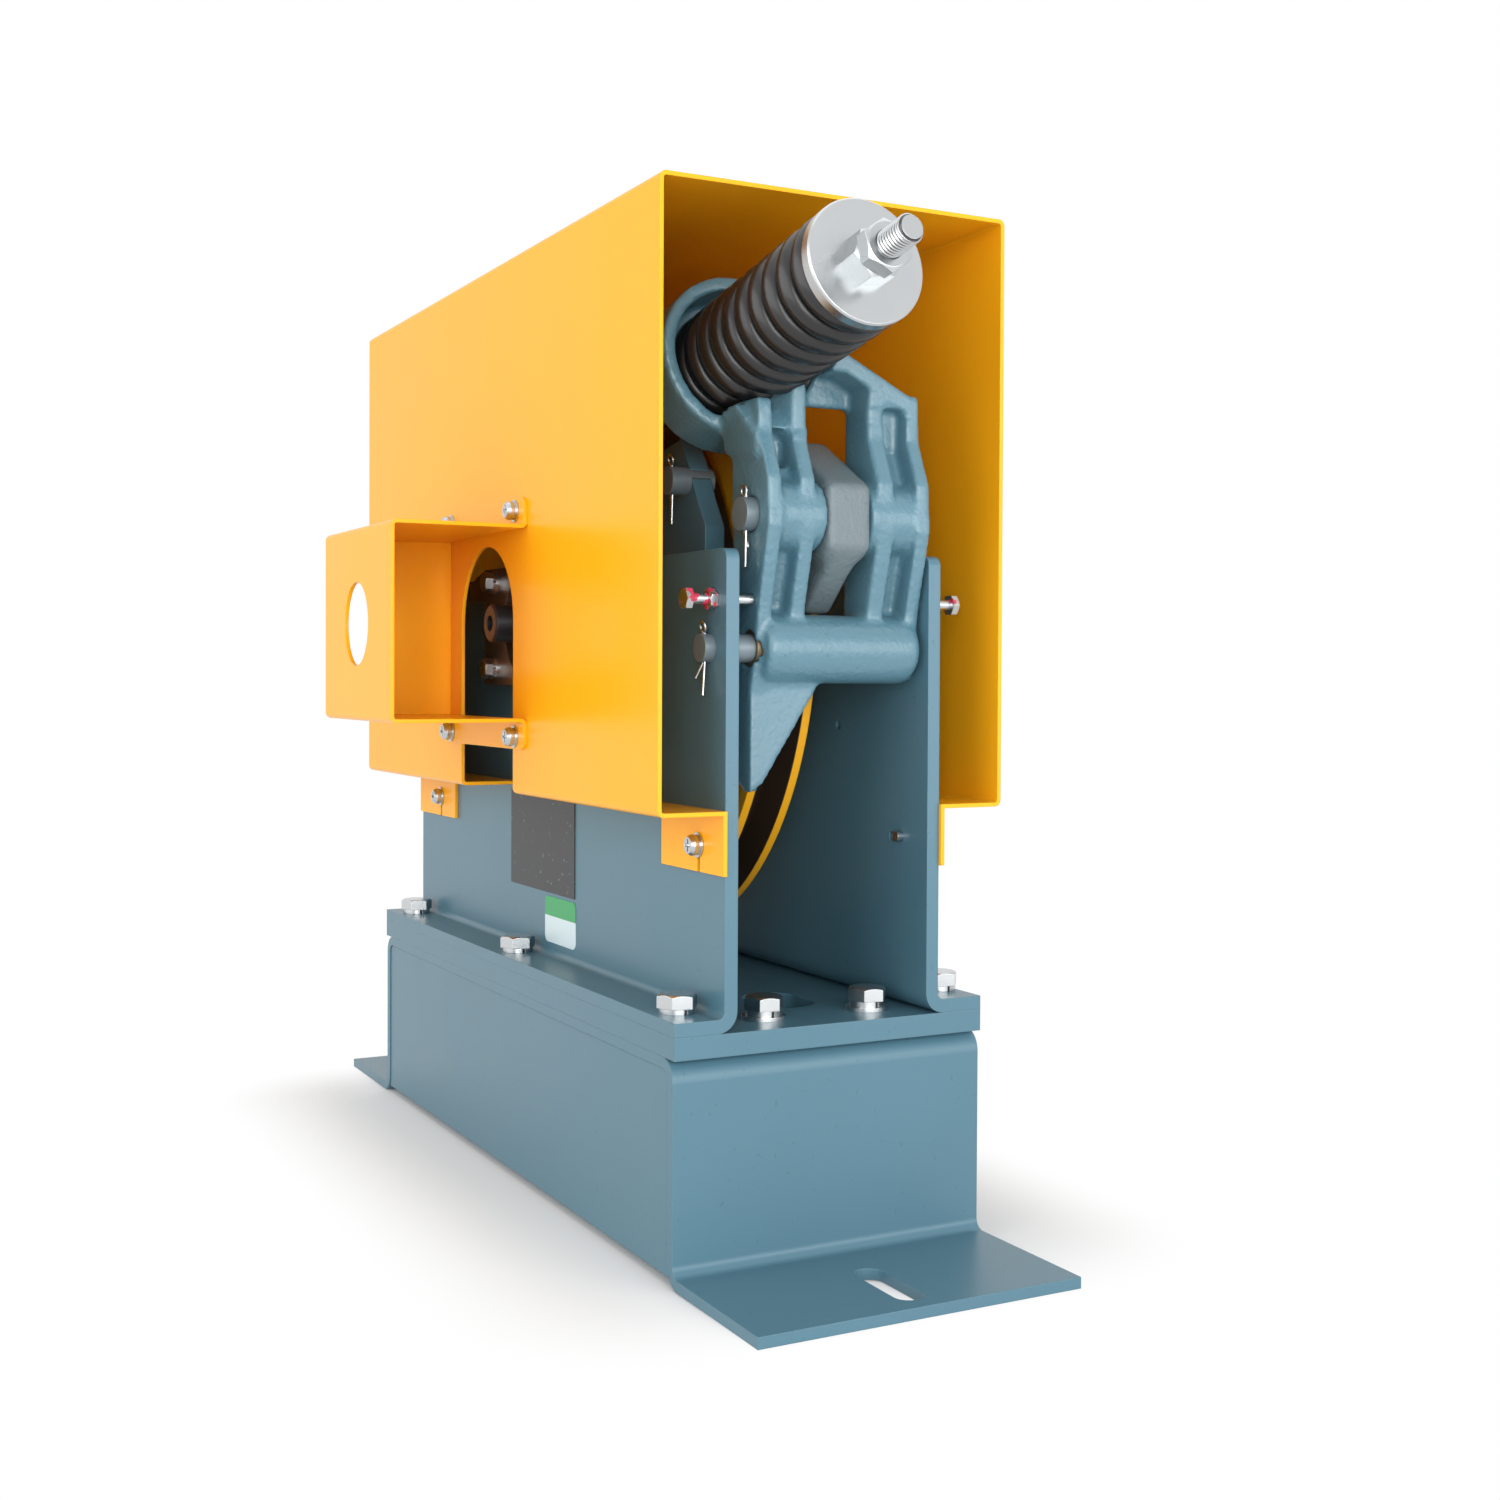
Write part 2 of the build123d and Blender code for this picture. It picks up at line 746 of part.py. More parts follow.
with BuildPart() as housing_bolts:
    for plane in housing_planes:
        bolt(plane, m5, housing_bolt_length, washer_stack(m5))
pieces["housing_bolts"] = housing_bolts
with BuildPart() as m5_flat_washers:
    for plane in housing_planes:
        flat_washer(plane, m5)
pieces["m5_flat_washers"] = m5_flat_washers
with BuildPart() as m5_spring_washers:
    for plane in housing_planes:
        spring_washer(plane.offset(m5[4]), m5)
pieces["m5_spring_washers"] = m5_spring_washers
with BuildPart() as bearing_circlips:
    for side in (-1, 1):
        outer = bearing_outer_radius + circlip_bite - hole_gap
        with BuildSketch(side_plane(side, 0, bearing_out_y + fit_gap, shaft_height)):
            Circle(outer)
            Circle(outer - circlip_width, mode=Mode.SUBTRACT)
            with Locations((0, -outer)):
                Rectangle(circlip_gap, 3 * circlip_width, mode=Mode.SUBTRACT)
        extrude(amount=circlip_thickness - 2 * fit_gap)
pieces["bearing_circlips"] = bearing_circlips

# Ball bearings
ball_circle = (bearing_outer_radius + bearing_inner_radius) / 2
bearing_middle_y = (bearing_in_y + bearing_out_y) / 2
with BuildPart() as bearing_outer_rings:
    for side in (-1, 1):
        face = side_plane(side, 0, bearing_in_y, shaft_height)
        ring(face, bearing_outer_radius, bearing_outer_radius - bearing_land, bearing_width)
    for side in (-1, 1):
        with Locations((0, side * bearing_middle_y, shaft_height)):
            Torus(ball_circle, bearing_ball_radius + fit_gap, rotation=(90, 0, 0), mode=Mode.SUBTRACT)
pieces["bearing_outer_rings"] = bearing_outer_rings
with BuildPart() as bearing_inner_rings:
    for side in (-1, 1):
        face = side_plane(side, 0, bearing_in_y, shaft_height)
        ring(face, bearing_inner_radius + bearing_land, bearing_inner_radius + fit_gap / 2, bearing_width)
    for side in (-1, 1):
        with Locations((0, side * bearing_middle_y, shaft_height)):
            Torus(ball_circle, bearing_ball_radius + fit_gap, rotation=(90, 0, 0), mode=Mode.SUBTRACT)
pieces["bearing_inner_rings"] = bearing_inner_rings
with BuildPart() as bearing_balls:
    for side in (-1, 1):
        with Locations(on_shaft(side * bearing_middle_y)):
            with PolarLocations(ball_circle, bearing_ball_count):
                Sphere(bearing_ball_radius)
pieces["bearing_balls"] = bearing_balls

# Shaft: bearing seats, thick middle with the sheave's keyway, bare stub with its own keyway
with BuildPart() as shaft:
    disc(side_plane(-1, 0, 0, shaft_height), shaft_radius, bearing_in_y)
    disc(side_plane(1, 0, 0, shaft_height), shaft_radius, bearing_in_y)
    disc(side_plane(-1, 0, 0, shaft_height), bearing_inner_radius, -stub_start_y)
    disc(side_plane(1, 0, 0, shaft_height), bearing_inner_radius, shaft_right_end)
    disc(side_plane(-1, 0, 0, shaft_height), stub_radius, -stub_end_y)
    end_edges = shaft.edges().filter_by(GeomType.CIRCLE).group_by(Axis.Y)
    chamfer(end_edges[0] + end_edges[-1], stub_chamfer)
    disc(side_plane(-1, 0, -stub_end_y, shaft_height), centre_hole_radius, -centre_hole_depth, Mode.SUBTRACT)
    with BuildSketch(level_plane(shaft_height + stub_radius - stub_key_depth)):
        with Locations((0, stub_key_from_y + stub_key_length / 2)):
            SlotOverall(stub_key_length, stub_key_width, rotation=90)
    extrude(amount=2 * stub_key_depth, mode=Mode.SUBTRACT)
    with BuildSketch(level_plane(shaft_height + shaft_radius - sheave_key_depth)):
        with Locations((0, sheave_key_end_y - sheave_key_length / 2)):
            SlotOverall(sheave_key_length, sheave_key_width, rotation=90)
    extrude(amount=2 * sheave_key_depth, mode=Mode.SUBTRACT)
pieces["shaft"] = shaft
with BuildPart() as sheave_key:
    with BuildSketch(level_plane(shaft_height + shaft_radius - sheave_key_depth + fit_gap)):
        with Locations((0, sheave_key_end_y - sheave_key_length / 2)):
            SlotOverall(sheave_key_length - 2 * fit_gap, sheave_key_width - 2 * fit_gap, rotation=90)
    extrude(amount=sheave_key_height - 2 * fit_gap)
pieces["sheave_key"] = sheave_key

# Sheave: hub, web with holes, grooved rim, posts for the flyweights and the spring
groove_radius = rope_radius + groove_gap
mouth_half = groove_mouth / 2
post_point = (link_post_x, sheave_post_z)
with BuildPart() as sheave:
    with BuildSketch(Plane.YZ):
        with BuildLine():
            Polyline(
                (sheave_left_y, shaft_height + sheave_radius - rim_depth),
                (web_left_y, shaft_height + sheave_radius - rim_depth),
                (web_left_y, shaft_height + hub_radius),
                (hub_left_y, shaft_height + hub_radius),
                (hub_left_y, shaft_height + shaft_radius + fit_gap),
                (hub_right_y, shaft_height + shaft_radius + fit_gap),
                (hub_right_y, shaft_height + hub_radius),
                (web_right_y, shaft_height + hub_radius),
                (web_right_y, shaft_height + sheave_radius - rim_depth),
                (sheave_right_y, shaft_height + sheave_radius - rim_depth),
                (sheave_right_y, shaft_height + sheave_radius),
                (rope_plane_y + mouth_half, shaft_height + sheave_radius),
                (rope_plane_y + groove_radius, shaft_height + pitch_radius),
                (rope_plane_y - groove_radius, shaft_height + pitch_radius),
                (rope_plane_y - mouth_half, shaft_height + sheave_radius),
                (sheave_left_y, shaft_height + sheave_radius),
                close=True,
            )
        make_face()
        with Locations((rope_plane_y, shaft_height + pitch_radius)):
            Circle(groove_radius, mode=Mode.SUBTRACT)
    revolve(axis=shaft_line)
    with BuildSketch(on_shaft(web_right_y)):
        with PolarLocations(web_hole_circle, web_hole_count):
            Circle(web_hole_radius)
    extrude(amount=web_thickness, mode=Mode.SUBTRACT)
    with BuildSketch(level_plane(shaft_height)):
        with Locations((0, sheave_key_end_y - sheave_key_length / 2)):
            Rectangle(sheave_key_width + 2 * fit_gap, sheave_key_length + sheave_key_width)
    extrude(amount=shaft_radius - sheave_key_depth + sheave_key_height + fit_gap, mode=Mode.SUBTRACT)
    with BuildSketch(on_shaft(web_right_y)):
        with PolarLocations(flyweight_pivot, 2, start_angle=90):
            Circle(flyweight_pin_radius - pin_step + fit_gap)
        with Locations(post_point):
            Circle(spring_post_radius + fit_gap)
    extrude(amount=web_thickness, mode=Mode.SUBTRACT)
pieces["sheave"] = sheave

# Sheave's fixed pins: flyweight pivots and the post that holds the spring
with BuildPart() as flyweight_pins:
    for z in (shaft_height + flyweight_pivot, shaft_height - flyweight_pivot):
        disc(side_plane(-1, 0, -web_right_y, z), flyweight_pin_radius - pin_step, web_thickness)
        cap_y = flyweight_left_y - hole_gap
        disc(side_plane(-1, 0, -web_left_y, z), flyweight_pin_radius, web_left_y - cap_y)
        disc(side_plane(-1, 0, -cap_y, z), flyweight_pin_head, flyweight_pin_cap)
pieces["flyweight_pins"] = flyweight_pins
post_end_y = link_left_y - spring_post_radius
with BuildPart() as spring_post:
    post_z = shaft_height + sheave_post_z
    disc(side_plane(-1, link_post_x, -web_right_y, post_z), spring_post_radius, web_right_y - post_end_y)
pieces["spring_post"] = spring_post

# Flyweights with their pawls. The outline is drawn for the upper one and turned for the lower one.
pivot = (0.0, flyweight_pivot)
pawl_tip = turned(polar(pawl_tip_radius, pawl_tip_angle), pivot, -flyweight_swing)
pawl_heel = turned(polar(pawl_heel_radius, pawl_heel_angle), pivot, -flyweight_swing)
pawl_root_radius = flyweight_inner + flyweight_corner
pawl_root_width = flyweight_to - pawl_root_angle
link_hole_a = (link_x, flyweight_pivot - link_drop)
link_hole_b = (-link_x, flyweight_pivot + link_drop)
for turn, name, link_hole in ((0, "a", link_hole_a), (180, "b", link_hole_b)):
    with BuildPart() as flyweight:
        with BuildSketch(on_shaft(flyweight_right_y)) as outline:
            with BuildLine():
                middle = (flyweight_from + flyweight_to) / 2
                ThreePointArc(
                    polar(flyweight_outer, flyweight_from),
                    polar(flyweight_outer, middle),
                    polar(flyweight_outer, flyweight_to),
                )
                Line(polar(flyweight_outer, flyweight_to), polar(flyweight_inner, flyweight_to))
                ThreePointArc(
                    polar(flyweight_inner, flyweight_to),
                    polar(flyweight_inner, middle),
                    polar(flyweight_inner, flyweight_from),
                )
                Line(polar(flyweight_inner, flyweight_from), polar(flyweight_outer, flyweight_from))
            make_face()
            fillet(vertices(), flyweight_corner)
            with BuildLine():
                Polyline(
                    pawl_tip,
                    polar(pawl_root_radius, pawl_root_angle),
                    polar(pawl_root_radius, pawl_root_angle - pawl_root_width),
                    pawl_heel,
                    close=True,
                )
            make_face()
            with Locations(pivot):
                Circle(flyweight_pin_radius + fit_gap, mode=Mode.SUBTRACT)
            with Locations(link_hole):
                Circle(link_pin_radius - pin_step, mode=Mode.SUBTRACT)
        extrude(outline.sketch.rotate(shaft_line, -turn), amount=flyweight_thickness)
    pieces[f"flyweight_{name}"] = flyweight
    with BuildPart() as link_pin:
        spot = turned(link_hole, (0, 0), turn)
        foot = side_plane(-1, spot[0], -flyweight_right_y, shaft_height + spot[1])
        disc(foot, link_pin_radius - pin_step - fit_gap, flyweight_thickness)
        disc(foot.offset(flyweight_thickness), link_pin_radius, flyweight_left_y - link_left_y + hole_gap)
    pieces[f"link_pin_{name}"] = link_pin

# Link that keeps the flyweights in step, with the lug and post of the spring
with BuildPart() as flyweight_link:
    with BuildSketch(on_shaft(link_right_y)):
        with Locations((link_x, -link_drop)):
            SlotCenterToCenter(2 * flyweight_pivot, link_width, rotation=90)
        with Locations(((link_x + link_post_x) / 2, link_post_z)):
            Rectangle(link_post_x - link_x + link_width / 2, link_width)
        with Locations((link_x, flyweight_pivot - link_drop), (link_x, -flyweight_pivot - link_drop)):
            Circle(link_pin_radius + fit_gap, mode=Mode.SUBTRACT)
    extrude(amount=link_thickness)
    post_foot = side_plane(-1, link_post_x, -link_left_y, shaft_height + link_post_z)
    disc(post_foot, spring_post_radius, 2 * spring_post_radius)
pieces["flyweight_link"] = flyweight_link

# Spring between the link's post and the sheave's post
spring_low = shaft_height + sheave_post_z
spring_high = shaft_height + link_post_z
spring_mid_y = link_left_y - small_spring_radius - small_spring_gap
with BuildPart() as flyweight_spring:
    coil_low = spring_low + 2 * spring_post_radius + small_spring_wire
    coil_high = spring_high - 2 * spring_post_radius - small_spring_wire
    with BuildSketch(level_plane(coil_low, link_post_x, spring_mid_y)):
        Circle(small_spring_radius)
        Circle(small_spring_radius - small_spring_wire, mode=Mode.SUBTRACT)
    extrude(amount=coil_high - coil_low)
pieces["flyweight_spring"] = flyweight_spring

# Ratchet wheel with its sleeve, and the bronze bush that it turns on
with BuildPart() as ratchet_wheel:
    with BuildSketch(on_shaft(ratchet_right_y)):
        with BuildLine():
            teeth = []
            for tooth in range(tooth_count):
                start = tooth_phase + tooth * 360 / tooth_count
                teeth.append(polar(ratchet_radius - tooth_depth, start))
                teeth.append(polar(ratchet_radius, start))
            Polyline(*teeth, close=True)
        make_face()
    extrude(amount=ratchet_thickness)
    disc(side_plane(-1, 0, -ratchet_left_y, shaft_height), sleeve_radius, ratchet_left_y - sleeve_left_y)
    disc(side_plane(-1, 0, -collar_right_y, shaft_height), collar_radius, collar_thickness)
    bore_face = side_plane(-1, 0, -ratchet_right_y, shaft_height)
    disc(bore_face, bush_radius, ratchet_right_y - sleeve_left_y, Mode.SUBTRACT)
    with BuildSketch(on_shaft(collar_right_y)):
        with PolarLocations(lever_screw_circle, lever_screw_count, start_angle=lever_screw_from):
            Circle(m4[0] + fit_gap)
    extrude(amount=collar_thickness, mode=Mode.SUBTRACT)
pieces["ratchet_wheel"] = ratchet_wheel
with BuildPart() as lever_bush:
    face = side_plane(-1, 0, -ratchet_right_y, shaft_height)
    ring(face, bush_radius - fit_gap / 2, shaft_radius + fit_gap, ratchet_right_y - sleeve_left_y)
pieces["lever_bush"] = lever_bush

# Trip lever: hub, lug for the rod's fork and forward horn, with its screws and pins
with BuildPart() as trip_lever:
    with BuildSketch(across(collar_left_y)):
        with Locations(shaft_point):
            Circle(lever_hub_radius)
        with BuildLine():
            Polyline(*horn, close=True)
        make_face()
        with Locations((lug_x, lug_z)):
            Circle(lug_radius)
        with Locations(shaft_point):
            Circle(sleeve_radius + fit_gap, mode=Mode.SUBTRACT)
            with PolarLocations(lever_screw_circle, lever_screw_count, start_angle=lever_screw_from):
                Circle(m4[0] + hole_gap, mode=Mode.SUBTRACT)
        with Locations((lug_x, lug_z)):
            Circle(lug_pin_radius + fit_gap, mode=Mode.SUBTRACT)
        with Locations((hold_pin_x, hold_pin_z)):
            Circle(hold_pin_radius + fit_gap, mode=Mode.SUBTRACT)
    extrude(amount=lever_thickness)
pieces["trip_lever"] = trip_lever
with BuildPart() as lever_screws:
    for count in range(lever_screw_count):
        spot = polar(lever_screw_circle, lever_screw_from + count * 360 / lever_screw_count)
        face = side_plane(-1, spot[0], -lever_left_y, shaft_height + spot[1])
        hexagon(face, m4[1], m4[2])
        disc(face, m4[0], -(lever_thickness + collar_thickness - lever_screw_bite))
pieces["lever_screws"] = lever_screws
with BuildPart() as lever_pin:
    foot = side_plane(-1, hold_pin_x, -(collar_left_y + hold_pin_bite), hold_pin_z)
    disc(foot, hold_pin_radius, collar_left_y + hold_pin_bite - hold_pin_end_y)
    with Locations((hold_pin_x, hold_pin_end_y + split_pin_out, hold_pin_z)):
        Cylinder(split_pin_radius + fit_gap, 4 * hold_pin_radius, mode=Mode.SUBTRACT)
pieces["lever_pin"] = lever_pin
with BuildPart() as lever_stop_pin:
    foot = side_plane(-1, stop_pin_x, plate_outer_y, stop_pin_z)
    disc(foot, stop_pin_radius, -(plate_outer_y + collar_left_y))
pieces["lever_stop_pin"] = lever_stop_pin


def split_pin(x, y, z, pin_radius):
    """Split pin down through a pin that lies across; loop on top, legs below."""
    reach = pin_radius + hole_gap
    with Locations((x, y, z)):
        Cylinder(split_pin_radius, 2 * reach)
    with Locations((x, y, z + reach + split_loop_radius)):
        Torus(split_loop_radius, split_wire_radius, rotation=(90, 0, 0))
    with Locations((x, y, z - reach)):
        Cylinder(split_pin_radius, split_leg, align=(Align.CENTER, Align.CENTER, Align.MAX))


with BuildPart() as lever_split_pin:
    split_pin(hold_pin_x, hold_pin_end_y + split_pin_out, hold_pin_z, hold_pin_radius)
pieces["lever_split_pin"] = lever_split_pin

# Pull rod with its fork, pin and nuts
fork_start = lug_along + fork_throat
rod_end = spring_visible + disc_thickness + rod_tip_out
disc_front = spring_visible + disc_thickness
floor_back = -(ring_depth + ring_floor + floor_gap)
with BuildPart() as rod_fork:
    with BuildSketch(rod_plane(fork_start)):
        Rectangle(2 * ear_out, fork_height)
    extrude(amount=fork_length - fork_throat)
    with BuildSketch(across(rod_y + ear_out)):
        with Locations((lug_x, lug_z)):
            SlotCenterToCenter(2 * fork_throat, fork_height, rotation=rod_rise)
        with Locations((lug_x - fork_height * rod_cos, lug_z - fork_height * rod_sin)):
            Rectangle(2 * fork_height, 2 * fork_height, rotation=rod_rise, mode=Mode.SUBTRACT)
        with Locations((lug_x, lug_z)):
            Circle(fork_height / 2)
    extrude(amount=2 * ear_out)
    with BuildSketch(across(rod_y + lever_thickness / 2 + fork_gap)):
        with Locations((lug_x, lug_z)):
            Circle(fork_throat)
    extrude(amount=lever_thickness + 2 * fork_gap, mode=Mode.SUBTRACT)
    with BuildSketch(across(rod_y + ear_out)):
        with Locations((lug_x, lug_z)):
            Circle(lug_pin_radius + fit_gap)
    extrude(amount=2 * ear_out, mode=Mode.SUBTRACT)
    disc(rod_plane(fork_start), rod_radius + fit_gap, fork_length, Mode.SUBTRACT)
pieces["rod_fork"] = rod_fork
with BuildPart() as fork_pin:
    disc(side_plane(-1, lug_x, -(rod_y + ear_out), lug_z), lug_pin_radius, 2 * ear_out)
    disc(side_plane(-1, lug_x, -(rod_y - ear_out), lug_z), lug_pin_radius + fork_pin_flange, fork_pin_cap)
    disc(side_plane(1, lug_x, rod_y + ear_out, lug_z), lug_pin_radius + fork_pin_flange, fork_pin_cap)
pieces["fork_pin"] = fork_pin
with BuildPart() as pull_rod:
    disc(rod_plane(fork_start + fork_thread_start), rod_radius, rod_end - fork_start - fork_thread_start)
    chamfer(pull_rod.edges().filter_by(GeomType.CIRCLE).group_by(Axis.X)[-1], rod_tip_chamfer)
pieces["pull_rod"] = pull_rod
nut_bore = rod_radius + fit_gap
with BuildPart() as rod_nuts:
    hex_head(rod_plane(disc_front), rod_nut_flats, rod_nut_height, rod_nut_turn, nut_bore)
    lock_plane = rod_plane(disc_front + rod_nut_height + fit_gap)
    hex_head(lock_plane, rod_nut_flats, lock_nut_height, lock_nut_turn, nut_bore)
    hexagon(rod_plane(floor_back - rod_nut_height), rod_nut_flats, rod_nut_height, nut_bore)
    back_plane = rod_plane(floor_back - rod_nut_height - fit_gap - lock_nut_height)
    hexagon(back_plane, rod_nut_flats, lock_nut_height, nut_bore)
pieces["rod_nuts"] = rod_nuts
with BuildPart() as spring_disc:
    ring(rod_plane(spring_visible), disc_radius, rod_radius + hole_gap, disc_thickness)
    chamfer(spring_disc.edges().filter_by(GeomType.CIRCLE).group_by(SortBy.LENGTH)[-1], disc_chamfer)
pieces["spring_disc"] = spring_disc

# Main spring
wire_radius = spring_wire / 2
coil_radius = spring_outer - wire_radius
coil_start = -ring_depth + wire_radius
coil_height = spring_visible - wire_radius - coil_start
start_plane = rod_plane(coil_start)
with BuildPart() as main_spring:
    with BuildLine():
        coil = Helix(
            pitch=coil_height / spring_turns,
            height=coil_height,
            radius=coil_radius,
            center=start_plane.origin,
            direction=start_plane.z_dir,
        )
    with BuildSketch(Plane(origin=coil @ 0, z_dir=coil % 0)):
        RegularPolygon(wire_radius, spring_wire_sides)
    sweep(path=coil, is_frenet=True)
pieces["main_spring"] = main_spring

# Clamp arm. Side walls, inner ribs, channel floors, pivot boss, tongue, top plate and ring cup.
def shifted(points, dx, top):
    """The part of a front outline below a height, moved along X."""
    return [(x + dx, z) for x, z in points if z <= top]


left_wall = [
    *reversed(tongue_front),
    *shifted(arm_front, 0, wall_top),
    *reversed(lug_rear),
    (arm_rear, arm_rear_foot),
    tongue_rear,
]
right_wall = [
    *arm_front,
    (arm_rear + rear_lean, arm_front[-1][1] + rear_lean),
    (arm_rear, arm_rear_foot),
]
rib_front = shifted(arm_front, -rib_set_back, arm_front[-1][1])
left_rib_outline = [
    *shifted(rib_front, 0, pocket_top),
    (neck_high[1], neck_high[2]),
    (arm_rear, wall_top),
    (arm_rear, arm_rear_foot),
]
right_rib_outline = [
    *rib_front,
    (arm_rear + rear_lean, arm_front[-1][1] + top_thickness),
    (arm_rear, arm_rear_foot),
]
floor_front = shifted(arm_front, -channel_depth, channel_top)
floor_outline = floor_front + [(x - arm_web_thickness, z) for x, z in reversed(floor_front)]


def wall(points, y_low, y_high):
    """Plate with a side outline, between two positions across the arm."""
    with BuildSketch(across(y_high)) as face:
        with BuildLine():
            Polyline(*from_pivot(points), close=True)
        make_face()
    extrude(face.sketch, amount=y_high - y_low)


def level_block(x_low, x_high, ys):
    """Rectangle in a level plane, from a stretch along the arm and one across it."""
    with Locations(((x_low + x_high) / 2 + arm_pivot_x, rope_plane_y + (ys[0] + ys[1]) / 2)):
        Rectangle(x_high - x_low, ys[1] - ys[0])


with BuildPart() as pivot_boss:
    boss_left = arm_left_y + arm_wall - boss_round_left
    foot = side_plane(1, arm_pivot_x, boss_left, arm_pivot_z)
    disc(foot, arm_boss_radius, arm_right_y - boss_left)
    fillet(pivot_boss.edges().filter_by(GeomType.CIRCLE).group_by(Axis.Y)[0], boss_round_left)
    fillet(pivot_boss.edges().filter_by(GeomType.CIRCLE).group_by(Axis.Y)[-1], boss_round_right)

with BuildPart() as clamp_arm:
    wall(left_wall, arm_left_y, arm_left_y + arm_wall)
    wall(right_wall, arm_right_y - arm_wall, arm_right_y)
    wall(left_rib_outline, rope_plane_y + left_rib[0], rope_plane_y + left_rib[1])
    wall(right_rib_outline, rope_plane_y + right_rib[0], rope_plane_y + right_rib[1])
    wall(floor_outline, arm_left_y, rope_plane_y + left_rib[1])
    wall(floor_outline, rope_plane_y + right_rib[0], arm_right_y)
    # neck from the left pair of walls up to the ring, with the ledge under it
    wall(ledge_outline, arm_left_y - ledge_proud, rope_plane_y + left_rib[1])
    with BuildSketch(level_plane(arm_pivot_z + neck_low[2])) as neck_foot:
        level_block(neck_low[0], neck_low[1], neck_low_y)
    with BuildSketch(level_plane(arm_pivot_z + neck_high[2])) as neck_top:
        level_block(neck_high[0], neck_high[1], neck_high_y)
    loft([neck_foot.sketch, neck_top.sketch])
    # pocket between the left wall and rib, up into the neck
    pocket_ys = (-arm_half_width + arm_wall, left_rib[0])
    with BuildSketch(level_plane(arm_pivot_z + pocket_from)) as pocket:
        level_block(pocket_back, 3 * channel_depth, pocket_ys)
    extrude(pocket.sketch, amount=pocket_top - pocket_from, mode=Mode.SUBTRACT)
    wall(right_cap_outline, rope_plane_y + right_rib[0], arm_right_y)
    add(pivot_boss.part)
    for low, high in ((-arm_half_width, -shoe_boss_from), (shoe_boss_from, arm_half_width)):
        with BuildSketch(across(rope_plane_y + high)) as boss_face:
            with Locations(shoe_point):
                Circle(shoe_boss_radius)
        extrude(boss_face.sketch, amount=high - low)
    # tongue web
    tongue_end_z = arm_pivot_z + tongue_front[-1][1]
    with BuildSketch(Plane.YZ.offset(arm_pivot_x + tongue_web_out)) as tongue:
        with BuildLine():
            Polyline(
                (arm_left_y, tongue_end_z),
                (tongue_low_y, tongue_end_z + tongue_slope),
                (tongue_web_y, arm_pivot_z - arm_boss_radius),
                (tongue_web_y, arm_pivot_z),
                (arm_left_y, arm_pivot_z),
                close=True,
            )
        make_face()
    extrude(tongue.sketch, amount=-arm_web_thickness)
    # rear web over the window and the sloping top plate
    top_high_y = rope_plane_y + top_high[0]
    top_high_z = arm_pivot_z + top_high[1]
    top_low_z = arm_pivot_z + top_low_rise
    window_top_z = arm_pivot_z + window_rise
    with BuildSketch(Plane.YZ.offset(arm_pivot_x + arm_rear + rear_lean)) as rear_web:
        with BuildLine():
            Polyline(
                (rod_y + ring_outer / 2, window_top_z),
                (arm_right_y - arm_wall, window_top_z),
                (arm_right_y - arm_wall, top_low_z),
                (top_high_y, top_high_z - top_thickness / 2),
                (rod_y + ring_outer / 2, top_high_z - top_thickness / 2),
                close=True,
            )
        make_face()
    extrude(rear_web.sketch, amount=rear_web_thickness)
    with BuildSketch(Plane.YZ.offset(arm_pivot_x + top_plate_from)) as top_plate:
        with BuildLine():
            Polyline(
                (top_high_y, top_high_z),
                (arm_right_y, top_low_z),
                (arm_right_y, top_low_z - top_thickness),
                (top_high_y, top_high_z - top_thickness),
                (top_high_y - top_peak_width, top_high_z - top_thickness),
                (top_high_y - top_peak_width, top_high_z),
                close=True,
            )
        make_face()
    extrude(top_plate.sketch, amount=top_plate_to - top_plate_from)
    disc(rod_plane(-(ring_depth + ring_floor)), ring_outer, ring_depth + ring_floor)
    disc(rod_plane(-ring_depth), ring_inner, 4 * ring_depth, Mode.SUBTRACT)
    disc(rod_plane(-2 * ring_depth), ring_floor_hole, 2 * ring_depth, Mode.SUBTRACT)
    # room for the sheave's rim at rest and when the arm has swung in
    for swing in (0, arm_swing):
        centre = turned(shaft_point, pivot_point, -swing)
        with BuildSketch(across(sheave_right_y + sheave_clear)) as rim:
            with Locations(centre):
                Circle(sheave_radius + sheave_clear)
        extrude(rim.sketch, amount=sheave_width + 2 * sheave_clear, mode=Mode.SUBTRACT)
    with BuildSketch(across(arm_right_y + ledge_proud)) as pin_holes:
        with Locations(pivot_point):
            Circle(arm_pin_radius + fit_gap + bush_thickness)
        with Locations(shoe_point):
            Circle(shoe_pin_radius + fit_gap)
    extrude(pin_holes.sketch, amount=arm_width + 2 * ledge_proud, mode=Mode.SUBTRACT)
pieces["clamp_arm"] = clamp_arm

with BuildPart() as arm_bushes:
    for side in (-1, 1):
        out = side * rope_plane_y + arm_half_width - boss_set_in
        inner = side_plane(side, arm_pivot_x, out - bush_length, arm_pivot_z)
        ring(inner, arm_pin_radius + bush_thickness, arm_pin_radius + fit_gap, bush_length)
pieces["arm_bushes"] = arm_bushes
pivot_pin_end = plate_outer_y + arm_pin_proud
with BuildPart() as arm_pivot_pin:
    disc(side_plane(1, arm_pivot_x, -pivot_pin_end, arm_pivot_z), arm_pin_radius, 2 * pivot_pin_end)
    for side in (-1, 1):
        with Locations((arm_pivot_x, side * (plate_outer_y + split_pin_out), arm_pivot_z)):
            Cylinder(split_pin_radius + fit_gap, 4 * arm_pin_radius, mode=Mode.SUBTRACT)
pieces["arm_pivot_pin"] = arm_pivot_pin
with BuildPart() as pivot_split_pins:
    for side in (-1, 1):
        split_pin(arm_pivot_x, side * (plate_outer_y + split_pin_out), arm_pivot_z, arm_pin_radius)
pieces["pivot_split_pins"] = pivot_split_pins

